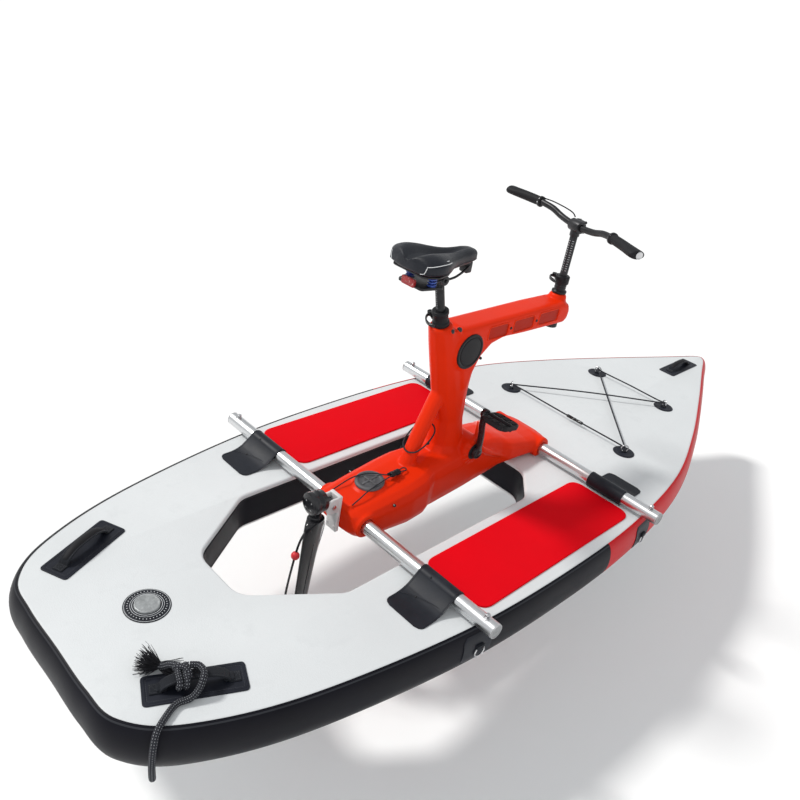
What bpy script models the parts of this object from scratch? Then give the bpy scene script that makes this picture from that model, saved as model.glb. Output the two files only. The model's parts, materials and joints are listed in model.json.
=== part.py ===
# Pedal-driven inflatable water bike in metres: +X to the bow, +Y to port, +Z up.
# The origin lies on the plane of the hull's flat bottom, midway between the two cross tubes.

import math

import bmesh
import bpy
from mathutils import Matrix, Vector

# Fit between pieces that touch
GAP = 0.0003

# Hull: half widths of the deck at places along its length, from the transom to the bow
HULL_THICK = 0.13
RAIL_BULGE = 0.028
RAIL_ROWS = 5
SKIN = 0.002
DECK_HALF_PLAN = (
    (-1.320, 0.000), (-1.320, 0.150), (-1.302, 0.262), (-1.190, 0.360), (-0.920, 0.458),
    (-0.450, 0.540), (0.000, 0.562), (0.400, 0.549), (0.800, 0.490), (1.150, 0.374),
    (1.500, 0.226), (1.820, 0.080), (1.942, 0.026), (1.975, 0.000),
)
SEAM_X = 0.190
WELL_PLAN = (
    (-0.885, 0.095), (-0.640, 0.252), (0.170, 0.252), (0.288, 0.150),
    (0.288, -0.150), (0.170, -0.252), (-0.640, -0.252), (-0.885, -0.095),
)
WELL_CORNER = 0.075
PAD_X = (-0.378, 0.405)
PAD_Y = (0.290, 0.527)
PAD_THICK = 0.005

# Cross tubes, their plugs and the sleeves that hold them to the deck
TUBE_X = 0.433
TUBE_Z = HULL_THICK + 0.030
TUBE_R = 0.0225
TUBE_WALL = 0.002
TUBE_HALF = 0.610
PIN_INSET = 0.034
PIN_R = 0.004
SLEEVE_Y = (0.335, 0.475)
SLEEVE_REACH = 0.145

# Deck fittings
BUNGEE_PLACES = ((0.757, 0.285), (1.269, 0.175))
BUNGEE_PATCH_R = 0.042
BUNGEE_R = 0.003
BUNGEE_Z = HULL_THICK + 0.020
STERN_HANDLE = (-1.127, 0.281)
STERN_HANDLE_TURN = math.radians(24.5)
BOW_HANDLE_X = 1.735
VALVE_X = -1.095

# Moulded frame
FRAME_END = 0.475
ARM_HALF = 0.050
SEAT_TILT = math.radians(17)
SEAT_POINT = Vector((-0.150, 0, HULL_THICK + 0.593))
SEAT_POST_R = 0.0136
STEM_X = 0.450
STEM_R = 0.0165
ARM_TOP = HULL_THICK + 0.592
DISC_CENTRE = (-0.053, HULL_THICK + 0.513)
DISC_R = 0.058
HATCH_X = -0.345
HATCH_R = 0.047
HATCH_TILT = math.radians(-7)

# Cranks and pedals
BRACKET = Vector((0.043, 0, HULL_THICK + 0.135))
CRANK = 0.158
CRANK_AT_REST = math.radians(-3)
CRANK_Y = 0.094
PEDAL_Y = (0.114, 0.214)
PEDAL_AT_REST = math.radians(14)

# Steering and drive leg
STEER_AT_REST = math.radians(-16)
BAR_Z = HULL_THICK + 0.844
BAR_R = 0.011
LEG_AXIS = Vector((-0.557, 0, HULL_THICK + 0.110))
KICK_AXIS = Vector((-0.5085, 0, HULL_THICK + 0.084))
LEG_RAKE = math.radians(5)
LEG_LENGTH = 0.505
PROP_R = 0.105


# Materials

COLOURS = {
    "deck_white": ((0.82, 0.83, 0.83), 0.55, 0.0),
    "rail_black": ((0.012, 0.013, 0.018), 0.45, 0.0),
    "rail_red": ((0.70, 0.010, 0.020), 0.40, 0.0),
    "pad_red": ((0.72, 0.006, 0.014), 0.70, 0.0),
    "aluminium": ((0.66, 0.67, 0.68), 0.32, 1.0),
    "steel": ((0.62, 0.62, 0.62), 0.22, 1.0),
    "moulded_red": ((0.78, 0.040, 0.012), 0.38, 0.0),
    "black_plastic": ((0.015, 0.015, 0.016), 0.45, 0.0),
    "black_metal": ((0.020, 0.020, 0.022), 0.35, 0.7),
    "black_rubber": ((0.012, 0.012, 0.013), 0.70, 0.0),
    "grey_plastic": ((0.10, 0.10, 0.11), 0.55, 0.0),
    "pale_plastic": ((0.60, 0.58, 0.58), 0.50, 0.0),
    "silver_plastic": ((0.42, 0.43, 0.44), 0.40, 0.3),
    "reflector_red": ((0.60, 0.01, 0.01), 0.15, 0.0),
    "spring_blue": ((0.02, 0.05, 0.22), 0.50, 0.0),
    "rope_black": ((0.020, 0.020, 0.022), 0.85, 0.0),
}


def material(name):
    """The named finish, made the first time it is asked for."""
    found = bpy.data.materials.get(name)
    if found:
        return found
    colour, roughness, metallic = COLOURS[name]
    made = bpy.data.materials.new(name)
    made.use_nodes = True
    shader = made.node_tree.nodes["Principled BSDF"]
    shader.inputs["Base Color"].default_value = (*colour, 1)
    shader.inputs["Roughness"].default_value = roughness
    shader.inputs["Metallic"].default_value = metallic
    made.diffuse_color = (*colour, 1)
    return made


# Shapes shared by several pieces

def piece(name, bm, finish, parent=None, smooth=True):
    """A scene object from a closed bmesh, hung on its parent empty if it has one."""
    bmesh.ops.recalc_face_normals(bm, faces=bm.faces)
    mesh = bpy.data.meshes.new(name)
    bm.to_mesh(mesh)
    bm.free()
    if smooth:
        mesh.shade_smooth()
        mesh.set_sharp_from_angle(angle=math.radians(35))
    mesh.materials.append(material(finish))
    obj = bpy.data.objects.new(name, mesh)
    obj.parent = parent
    bpy.context.scene.collection.objects.link(obj)
    return obj


def helper(bm, parent=None):
    """A shape that only cuts or joins another one."""
    obj = piece("helper", bm, "black_plastic", parent)
    obj.hide_render = True
    obj.display_type = "WIRE"
    return obj


def pivot(name, place, turn=0.0, axis="Z", parent=None):
    """An empty on a joint's axis."""
    empty = bpy.data.objects.new(name, None)
    empty.location = place
    empty.rotation_euler["XYZ".index(axis)] = turn
    empty.parent = parent
    empty.empty_display_size = 0.05
    bpy.context.scene.collection.objects.link(empty)
    return empty


def combine(obj, tools, operation):
    """Boolean modifiers that join or cut obj with each tool in turn."""
    for tool in tools:
        step = obj.modifiers.new(operation.lower(), "BOOLEAN")
        step.operation = operation
        step.object = tool
        step.solver = "EXACT"
    return obj


def loft(rings, ends=True, split=False):
    """A skin through rings of equal point counts, closed over its first and last ring.

    Split faces follow one diagonal, so that two skins on the same rows nest without crossing."""
    bm = bmesh.new()
    rows = [[bm.verts.new(p) for p in ring] for ring in rings]
    count = len(rows[0])
    spans = list(zip(rows, rows[1:])) + ([] if ends else [(rows[-1], rows[0])])
    for low, high in spans:
        for i in range(count):
            j = (i + 1) % count
            if split:
                bm.faces.new((low[i], low[j], high[j]))
                bm.faces.new((low[i], high[j], high[i]))
            else:
                bm.faces.new((low[i], low[j], high[j], high[i]))
    if ends:
        bm.faces.new(rows[0][::-1])
        bm.faces.new(rows[-1])
    return bm


def prism(outline, low, high, plane="XY"):
    """An outline pushed from low to high along the axis square to its plane."""
    def place(a, b, c):
        return {"XY": (a, b, c), "XZ": (a, c, b), "YZ": (c, a, b)}[plane]
    return loft([[place(a, b, level) for a, b in outline] for level in (low, high)])


def arc(centre, radius, start, end, steps):
    """Points on an arc, angles in degrees."""
    turns = [math.radians(start + (end - start) * i / steps) for i in range(steps + 1)]
    return [(centre[0] + radius * math.cos(t), centre[1] + radius * math.sin(t)) for t in turns]


def circle(radius, steps, centre=(0, 0)):
    """A closed ring of points."""
    return arc(centre, radius, 0, 360 * (steps - 1) / steps, steps - 1)


def rounded(points, radius, steps=5):
    """A closed outline with each corner rounded to the radius, or as far as its sides allow."""
    found = []
    for i, here in enumerate(points):
        here = Vector(here)
        back = Vector(points[i - 1]) - here
        ahead = Vector(points[(i + 1) % len(points)]) - here
        half = back.angle(ahead) / 2
        cut = min(radius / math.tan(half), 0.48 * back.length, 0.48 * ahead.length)
        first = here + back.normalized() * cut
        last = here + ahead.normalized() * cut
        for k in range(steps + 1):
            t = k / steps
            found.append(first * (1 - t) ** 2 + here * (2 * t * (1 - t)) + last * t**2)
    return found


def rounded_box(size, radius, steps=3):
    """The outline of a rectangle about the origin with rounded corners."""
    a, b = size[0] / 2, size[1] / 2
    return rounded(((a, b), (-a, b), (-a, -b), (a, -b)), radius, steps)


def smooth_path(points, each, closed=False):
    """Points on a smooth curve through the given ones, with this many steps a span."""
    found, count = [], len(points)
    spans = count if closed else count - 1
    for i in range(spans):
        if closed:
            a, b, c, d = (Vector(points[(i + k - 1) % count]) for k in range(4))
        else:
            b, c = Vector(points[i]), Vector(points[i + 1])
            a = Vector(points[i - 1]) if i else b + (b - c)
            d = Vector(points[i + 2]) if i + 2 < count else c + (c - b)
        for k in range(each):
            t = k / each
            found.append(
                0.5 * (2 * b + (c - a) * t + (2 * a - 5 * b + 4 * c - d) * t**2
                       + (3 * b - a - 3 * c + d) * t**3)
            )
    if not closed:
        found.append(Vector(points[-1]))
    return found


def sweep(points, ring, closed=False):
    """A ring of (side, up) offsets carried along a path without twist."""
    points = [Vector(p) for p in points]
    count = len(points)
    rings, up = [], None
    for i, here in enumerate(points):
        if closed:
            along = points[(i + 1) % count] - points[i - 1]
        else:
            along = points[min(i + 1, count - 1)] - points[max(i - 1, 0)]
        along.normalize()
        if up is None:
            up = Vector((0, 0, 1)) if abs(along.z) < 0.9 else Vector((1, 0, 0))
        up = (up - along * up.dot(along)).normalized()
        side = up.cross(along)
        rings.append([here + side * a + up * b for a, b in ring])
    return loft(rings, ends=not closed)


def turned(profile, steps=24, axis="Z", centre=(0, 0, 0)):
    """A profile of (radius, height) pairs turned about an axis: from pole to pole, or a ring."""
    bm = bmesh.new()
    solid = profile[0][0] == 0
    rows = []
    for radius, height in profile:
        if radius == 0:
            rows.append([bm.verts.new((0, 0, height))])
            continue
        rows.append([
            bm.verts.new((radius * math.cos(2 * math.pi * i / steps),
                          radius * math.sin(2 * math.pi * i / steps), height))
            for i in range(steps)
        ])
    spans = list(zip(rows, rows[1:])) + ([] if solid else [(rows[-1], rows[0])])
    for low, high in spans:
        for i in range(steps):
            j = (i + 1) % steps
            corners = [low[i % len(low)], low[j % len(low)], high[j % len(high)], high[i % len(high)]]
            bm.faces.new(list(dict.fromkeys(corners)))
    swing = {"X": Matrix.Rotation(math.pi / 2, 4, "Y"), "Y": Matrix.Rotation(-math.pi / 2, 4, "X")}
    bm.transform(Matrix.Translation(centre) @ swing.get(axis, Matrix.Identity(4)))
    return bm


def drum(radius, low, high, steps=24, axis="Z", centre=(0, 0, 0)):
    """A plain cylinder between two heights along its axis."""
    return turned(((0, low), (radius, low), (radius, high), (0, high)), steps, axis, centre)


def tube(inner, outer, low, high, steps=24, axis="Z", centre=(0, 0, 0)):
    """A ring with a bore between two heights along its axis."""
    profile = ((inner, low), (outer, low), (outer, high), (inner, high))
    return turned(profile, steps, axis, centre)


def box(low, high):
    """A block between two corners."""
    outline = ((low[0], low[1]), (high[0], low[1]), (high[0], high[1]), (low[0], high[1]))
    return prism(outline, low[2], high[2])


def strip(width, thick):
    """The section of a flat strap."""
    a, b = width / 2, thick / 2
    return [(a, b), (-a, b), (-a, -b), (a, -b)]


def moved(bm, matrix):
    """The same bmesh after a transform."""
    bm.transform(matrix)
    return bm


def tilted(place, angle, axis="Y"):
    """A transform that turns about an axis, then moves to a place."""
    return Matrix.Translation(place) @ Matrix.Rotation(angle, 4, axis)


# Hull outline and its side

def deck_outline():
    """The deck's edge all round, counter-clockwise from the transom's starboard half to the bow."""
    half = smooth_path([(x, y, 0) for x, y in DECK_HALF_PLAN], 2)
    half = [(p.x, p.y) for p in half]
    half[0] = (half[0][0], 0.0)
    half[-1] = (half[-1][0], 0.0)
    starboard = [(x, -y) for x, y in half]
    return starboard + half[-2:0:-1]


def outward(outline):
    """The outward direction at each point of a counter-clockwise outline."""
    found, count = [], len(outline)
    for i in range(count):
        (ax, ay), (bx, by) = outline[i - 1], outline[(i + 1) % count]
        length = math.hypot(bx - ax, by - ay)
        found.append(((by - ay) / length, (ax - bx) / length))
    return found


def side_profile(grow=0.0, first=0.0, last=RAIL_ROWS - 1):
    """(reach, height) of the bulged side between two rows, counted from its bottom edge."""
    half = HULL_THICK / 2
    rows = []
    for k in range(RAIL_ROWS):
        t = math.radians(-90 + 180 * k / (RAIL_ROWS - 1))
        way = Vector((math.cos(t) / RAIL_BULGE, math.sin(t) / half)).normalized()
        rows.append(Vector((RAIL_BULGE * math.cos(t), half + half * math.sin(t))) + way * grow)
    found = []
    for mark in [first] + [k for k in range(RAIL_ROWS) if first < k < last] + [last]:
        low = min(int(mark), RAIL_ROWS - 2)
        point = rows[low].lerp(rows[low + 1], mark - low)
        found.append((point.x, point.y))
    return found


def side_skin(stations, normals, inner, outer, first=0.3, last=3.75):
    """A band glued on the hull's side along these stations, between two distances off it."""
    section = side_profile(inner, first, last) + side_profile(outer, first, last)[::-1]
    rings = [
        [(x + nx * reach, y + ny * reach, z) for reach, z in section]
        for (x, y), (nx, ny) in zip(stations, normals)
    ]
    return loft(rings, split=True)


def make_hull():
    """The drop-stitch board with its open well."""
    outline = deck_outline()
    normals = outward(outline)
    rings = [
        [(x + nx * reach, y + ny * reach, z) for (x, y), (nx, ny) in zip(outline, normals)]
        for reach, z in side_profile()
    ]
    hull = piece("hull_board", loft(rings, split=True), "deck_white")
    well = rounded(WELL_PLAN, WELL_CORNER, 3)
    combine(hull, [helper(prism(well, -0.05, HULL_THICK + 0.05))], "DIFFERENCE")
    return hull


def offset_in(outline, distance):
    """A counter-clockwise outline drawn in by a distance."""
    return [
        (x - nx * distance, y - ny * distance)
        for (x, y), (nx, ny) in zip(outline, outward(outline))
    ]


def make_well_lining():
    """The black band on the wall of the well."""
    well = rounded(WELL_PLAN, WELL_CORNER, 3)[::-1]
    outer, inner = offset_in(well, GAP * 2), offset_in(well, GAP * 2 + SKIN)
    low, high = 0.004, HULL_THICK - 0.001
    rings = [
        [(x, y, low) for x, y in outer], [(x, y, high) for x, y in outer],
        [(x, y, high) for x, y in inner], [(x, y, low) for x, y in inner],
    ]
    return piece("well_lining", loft(rings, ends=False), "rail_black")


def deck_edge_at(x):
    """Half width of the deck at x, ahead of the stern corner."""
    half = smooth_path([(a, b, 0) for a, b in DECK_HALF_PLAN], 2)
    for p, q in zip(half, half[1:]):
        if p.x <= x <= q.x and q.x > p.x:
            return p.y + (q.y - p.y) * (x - p.x) / (q.x - p.x)
    return 0.0


def rail_patch(x, side):
    """A patch on the hull's side with a keeper and a D-ring that hangs from it."""
    xs = [x + d for d in (-0.055, -0.02, 0.02, 0.055)]
    if side < 0:
        edge = [(a, -deck_edge_at(a)) for a in xs]
    else:
        edge = [(a, deck_edge_at(a)) for a in xs[::-1]]
    slope = [(edge[-1][1] - edge[0][1]), -(edge[-1][0] - edge[0][0])]
    length = math.hypot(*slope)
    normal = (slope[0] / length, slope[1] / length)
    plate = side_skin(edge, [normal] * 4, GAP + 0.001, GAP + 0.0045, 1.2, 3.1)
    reach = RAIL_BULGE + GAP + 0.004
    middle = Vector((x + normal[0] * reach, side * deck_edge_at(x) + normal[1] * reach, 0))
    turn = Matrix.Rotation(math.atan2(normal[1], normal[0]), 4, "Z")
    place = Matrix.Translation(middle + Vector((0, 0, HULL_THICK * 0.56))) @ turn
    keeper = box((-0.0015, -0.014, -0.008), (0.008, 0.014, 0.008))
    turns = [2 * math.pi * k / 10 for k in range(10)]
    ring_path = [(0.004, 0.017 * math.cos(a), 0.017 * math.sin(a) - 0.016) for a in turns]
    ring = sweep(ring_path, circle(0.0025, 5), closed=True)
    return [helper(plate), helper(moved(keeper, place)), helper(moved(ring, place))]


def make_rail_strips():
    """The black band round the stern and sides, the red band round the bow, and their rings."""
    outline = deck_outline()
    normals = outward(outline)
    count = len(outline)
    bow = next(i for i in range(count) if outline[i] == max(outline))
    seam = min(range(bow), key=lambda i: abs(outline[i][0] - SEAM_X))
    first, last = seam, 2 * bow - seam
    order = {
        "rail_strip_bow": [i % count for i in range(first, last + 1)],
        "rail_strip_stern": [i % count for i in range(last, count + first + 1)],
    }
    for name, run in order.items():
        stations = [Vector(outline[i]) for i in run]
        out = [normals[i] for i in run]
        stations[0] += (stations[1] - stations[0]).normalized() * GAP
        stations[-1] += (stations[-2] - stations[-1]).normalized() * GAP
        finish = "rail_red" if name.endswith("bow") else "rail_black"
        strip = piece(name, side_skin(stations, out, 3 * GAP, 3 * GAP + SKIN), finish)
        x = TUBE_X if name.endswith("bow") else -TUBE_X
        combine(strip, rail_patch(x, 1) + rail_patch(x, -1), "UNION")


def make_pads():
    """The two foot pads on the deck, one on each side of the well."""
    for side, name in ((1, "port"), (-1, "starboard")):
        (a, b), (c, d) = PAD_X, PAD_Y
        corners = ((a, side * c), (b, side * c), (b, side * d), (a, side * d))
        base = HULL_THICK + GAP
        pad = prism(rounded(corners, 0.045, 4), base, base + PAD_THICK)
        piece(f"foot_pad_{name}", pad, "pad_red")


def make_sleeves():
    """The four sleeves: each wraps a tube and is glued to the deck by one flap."""
    base = HULL_THICK + GAP
    rise = TUBE_Z - base
    outer = TUBE_R + GAP + 0.0028
    for end, along in (("front", 1), ("rear", -1)):
        flap = [
            (SLEEVE_REACH, 0.0), (SLEEVE_REACH, 0.003), (0.092, 0.004), (0.062, 0.011),
            (0.040, 0.026),
        ]
        wrap = arc((0, rise), outer, 40, 205, 9)
        under = [(-0.019, 0.006), (-0.012, 0.0)]
        outline = [(along * (TUBE_X + x), base + z) for x, z in flap + wrap + under]
        for side, name in ((1, "port"), (-1, "starboard")):
            low, high = sorted(side * y for y in SLEEVE_Y)
            bm = prism(outline, low, high, "XZ")
            sleeve = piece(f"sleeve_{end}_{name}", bm, "black_rubber")
            bore = drum(TUBE_R + 2 * GAP, low - 0.02, high + 0.02, 20, "Y", (along * TUBE_X, 0, TUBE_Z))
            combine(sleeve, [helper(bore)], "DIFFERENCE")


def make_tubes():
    """The cross tubes, each with a lock-pin hole near both ends, and the end plugs."""
    for end, along in (("front", 1), ("rear", -1)):
        centre = (along * TUBE_X, 0, TUBE_Z)
        bm = tube(TUBE_R - TUBE_WALL, TUBE_R, -TUBE_HALF, TUBE_HALF, 20, "Y", centre)
        shaft = piece(f"cross_tube_{end}", bm, "aluminium")
        holes = []
        for side, name in ((1, "port"), (-1, "starboard")):
            hole = (along * TUBE_X, side * (TUBE_HALF - PIN_INSET), TUBE_Z)
            holes.append(helper(drum(PIN_R + 2 * GAP, 0.005, 0.05, 10, "Z", hole)))
            bore = TUBE_R - TUBE_WALL - 2 * GAP
            lip = TUBE_HALF + GAP
            profile = [
                (0, lip - 0.050), (bore, lip - 0.050), (bore, lip), (TUBE_R, lip),
                (TUBE_R, lip + 0.004), (0, lip + 0.004),
            ]
            plug_bm = turned([(r, side * h) for r, h in profile], 14, "Y", centre)
            plug = piece(f"tube_plug_{end}_{name}", plug_bm, "black_plastic")
            pin = turned(
                ((0, 0.010), (PIN_R, 0.010), (PIN_R, 0.028), (PIN_R + 0.003, 0.029),
                 (PIN_R + 0.003, 0.033), (0, 0.034)), 8, "Z", hole)
            combine(plug, [helper(pin)], "UNION")
        combine(shaft, holes, "DIFFERENCE")


# Deck fittings

def handle(name, place, turn, size, grip):
    """A webbing grab handle: a glued patch with a raised loop of strap."""
    base = HULL_THICK + GAP
    patch = prism(rounded_box(size, 0.012), 0, 0.003)
    span, rise = grip
    arch = [(-span, 0.0022), (-span * 0.86, rise * 0.55), (-span * 0.5, rise * 0.92), (0, rise),
            (span * 0.5, rise * 0.92), (span * 0.86, rise * 0.55), (span, 0.0022)]
    path = smooth_path([(x, 0, z) for x, z in arch], 2)
    strap = sweep(path, strip(0.030, 0.006))
    spread = Matrix.Translation((*place, base)) @ Matrix.Rotation(turn, 4, "Z")
    grab = piece(name, moved(patch, spread), "black_rubber")
    return combine(grab, [helper(moved(strap, spread))], "UNION")


def make_handles():
    """Two grab handles at the stern and one at the bow."""
    x, y = STERN_HANDLE
    size, grip = (0.240, 0.086), (0.080, 0.034)
    handle("handle_stern_port", (x, y), STERN_HANDLE_TURN, size, grip)
    handle("handle_stern_starboard", (x, -y), -STERN_HANDLE_TURN, size, grip)
    handle("handle_bow", (BOW_HANDLE_X, 0), 0, (0.250, 0.080), (0.075, 0.030))


def make_valve():
    """The inflation valve's printed collar and its cap."""
    place = (VALVE_X, 0, HULL_THICK + GAP)
    collar = turned(
        ((0.0335, 0), (0.060, 0), (0.060, 0.0015), (0.050, 0.003), (0.0335, 0.004)), 24, "Z", place)
    piece("valve_collar", collar, "black_rubber")
    cap = turned(
        ((0, 0.0), (0.0330, 0.0), (0.0330, 0.008), (0.029, 0.011), (0.016, 0.012), (0.014, 0.010),
         (0, 0.010)), 24, "Z", place)
    cap_piece = piece("valve_cap", moved(cap, Matrix.Translation((-VALVE_X, 0, 0))), "silver_plastic")
    cap_piece.location = (VALVE_X, 0, 0)


def bungee_corners():
    """The four patches in the order that the cord takes: a bow tie."""
    (ax, ay), (bx, by) = BUNGEE_PLACES
    return {
        "aft_port": Vector((ax, ay, 0)), "fore_starboard": Vector((bx, -by, 0)),
        "fore_port": Vector((bx, by, 0)), "aft_starboard": Vector((ax, -ay, 0)),
    }


def make_bungee():
    """Patches with standing rings, and the elastic cord through them in a bow tie."""
    corners = bungee_corners()
    middle = sum(corners.values(), Vector()) / 4
    base = HULL_THICK + GAP
    ring_r, wire = 0.0140, 0.0025
    for name, place in corners.items():
        inward = (middle - place).normalized()
        turn = math.atan2(inward.y, inward.x)
        profile = ((0, 0), (BUNGEE_PATCH_R, 0), (BUNGEE_PATCH_R, 0.0015), (0.036, 0.003), (0, 0.003))
        patch = turned(profile, 16, "Z", (place.x, place.y, base))
        points = [(0, ring_r * math.cos(a), ring_r * math.sin(a)) for a in
                  [2 * math.pi * k / 10 for k in range(10)]]
        ring = sweep(points, circle(wire, 5), closed=True)
        stand = Matrix.Translation((place.x, place.y, base + ring_r + 0.003))
        ring = moved(ring, stand @ Matrix.Rotation(turn, 4, "Z"))
        keeper = moved(box((-0.009, -0.010, 0), (0.009, 0.010, 0.007)),
                       Matrix.Translation((place.x, place.y, base)) @ Matrix.Rotation(turn, 4, "Z"))
        patch_piece = piece(f"bungee_patch_{name}", patch, "black_rubber")
        combine(patch_piece, [helper(keeper), helper(ring)], "UNION")
    # The cord rounds each ring on a small bend, and one diagonal passes over the other.
    order = list(corners.values())
    route = []
    for i, place in enumerate(order):
        inward = (middle - place).normalized()
        before = (order[i - 1] - place).normalized()
        after = (order[(i + 1) % 4] - place).normalized()
        bend = place - inward * 0.008
        lift = 0.0055 if i in (0, 1) else -0.0025
        mid = (place + order[(i + 1) % 4]) / 2
        route.append(place + before * 0.030 + inward * 0.004)
        route.append(bend)
        route.append(place + after * 0.030 + inward * 0.004)
        route.append(Vector((mid.x, mid.y, lift if i in (0, 2) else 0)))
    path = [p + Vector((0, 0, BUNGEE_Z)) for p in route]
    path = smooth_path(path, 2, closed=True)
    cord = piece("bungee_cord", sweep(path, circle(BUNGEE_R, 6), closed=True), "rope_black")
    start, end = order[3], order[0]
    along = (end - start).normalized()
    at = start.lerp(end, 0.42) + Vector((0, 0, BUNGEE_Z))
    ferrule = sweep([at - along * 0.038, at + along * 0.038], circle(0.0065, 8))
    combine(cord, [helper(ferrule)], "UNION")


# Frame

def stadium(rear, front, radius, z, steps=5):
    """A level section with half-round ends, between two centres on the middle plane."""
    ends = arc((front, 0), radius, -90, 90, steps) + arc((rear, 0), radius, 90, 270, steps)
    return [(x, y, z) for x, y in ends]


def beam_section(x, half, low, high, steps=16):
    """A rounded section across the keel beam."""
    found = []
    for k in range(steps):
        t = 2 * math.pi * (k + 0.5) / steps
        c, s = math.cos(t), math.sin(t)
        y = half * math.copysign(abs(c) ** 0.62, c)
        z = (low + high) / 2 + (high - low) / 2 * math.copysign(abs(s) ** 0.55, s)
        found.append((x, y, HULL_THICK + z))
    return found


KEEL_SECTIONS = (
    (-FRAME_END, 0.080, -0.004, 0.074), (-0.455, 0.096, -0.022, 0.082),
    (-0.380, 0.106, -0.042, 0.092), (-0.250, 0.112, -0.054, 0.110),
    (-0.175, 0.106, -0.054, 0.124), (-0.135, 0.088, -0.052, 0.134),
    (0.040, 0.084, -0.044, 0.152), (0.190, 0.083, -0.022, 0.130), (0.225, 0.085, -0.010, 0.120),
    (0.262, 0.098, 0.002, 0.106), (0.360, 0.104, 0.002, 0.082),
    (0.440, 0.112, 0.002, 0.070), (FRAME_END, 0.098, 0.006, 0.060),
)
COLUMN_SECTIONS = (
    (0.090, -0.060, 0.010, 0.066), (0.160, -0.034, -0.004, 0.052), (0.250, -0.034, -0.022, 0.048),
    (0.350, -0.068, -0.026, 0.046), (0.450, -0.100, -0.022, 0.046), (0.530, -0.126, 0.010, 0.045),
    (0.590, -0.146, 0.040, 0.042),
)
ARM_PROFILE = (
    (-0.105, 0.594), (0.300, 0.592), (0.440, 0.588), (0.468, 0.578), (0.479, 0.552),
    (0.474, 0.522), (0.455, 0.508), (0.220, 0.514), (0.120, 0.520), (0.062, 0.508),
    (0.020, 0.474), (-0.002, 0.425), (-0.012, 0.360), (-0.050, 0.360), (-0.080, 0.450),
)
RECESSES = ((0.030, 0.125), (0.155, 0.262), (0.292, 0.402))


def seat_axis(height):
    """A point on the seat post's leaning axis, this far along it above the frame's top."""
    up = Vector((-math.sin(SEAT_TILT), 0, math.cos(SEAT_TILT)))
    return SEAT_POINT + up * height


def along_seat(bm, height=0.0):
    """A shape built on +Z, set on the seat post's axis."""
    return moved(bm, tilted(seat_axis(height), -SEAT_TILT))


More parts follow.
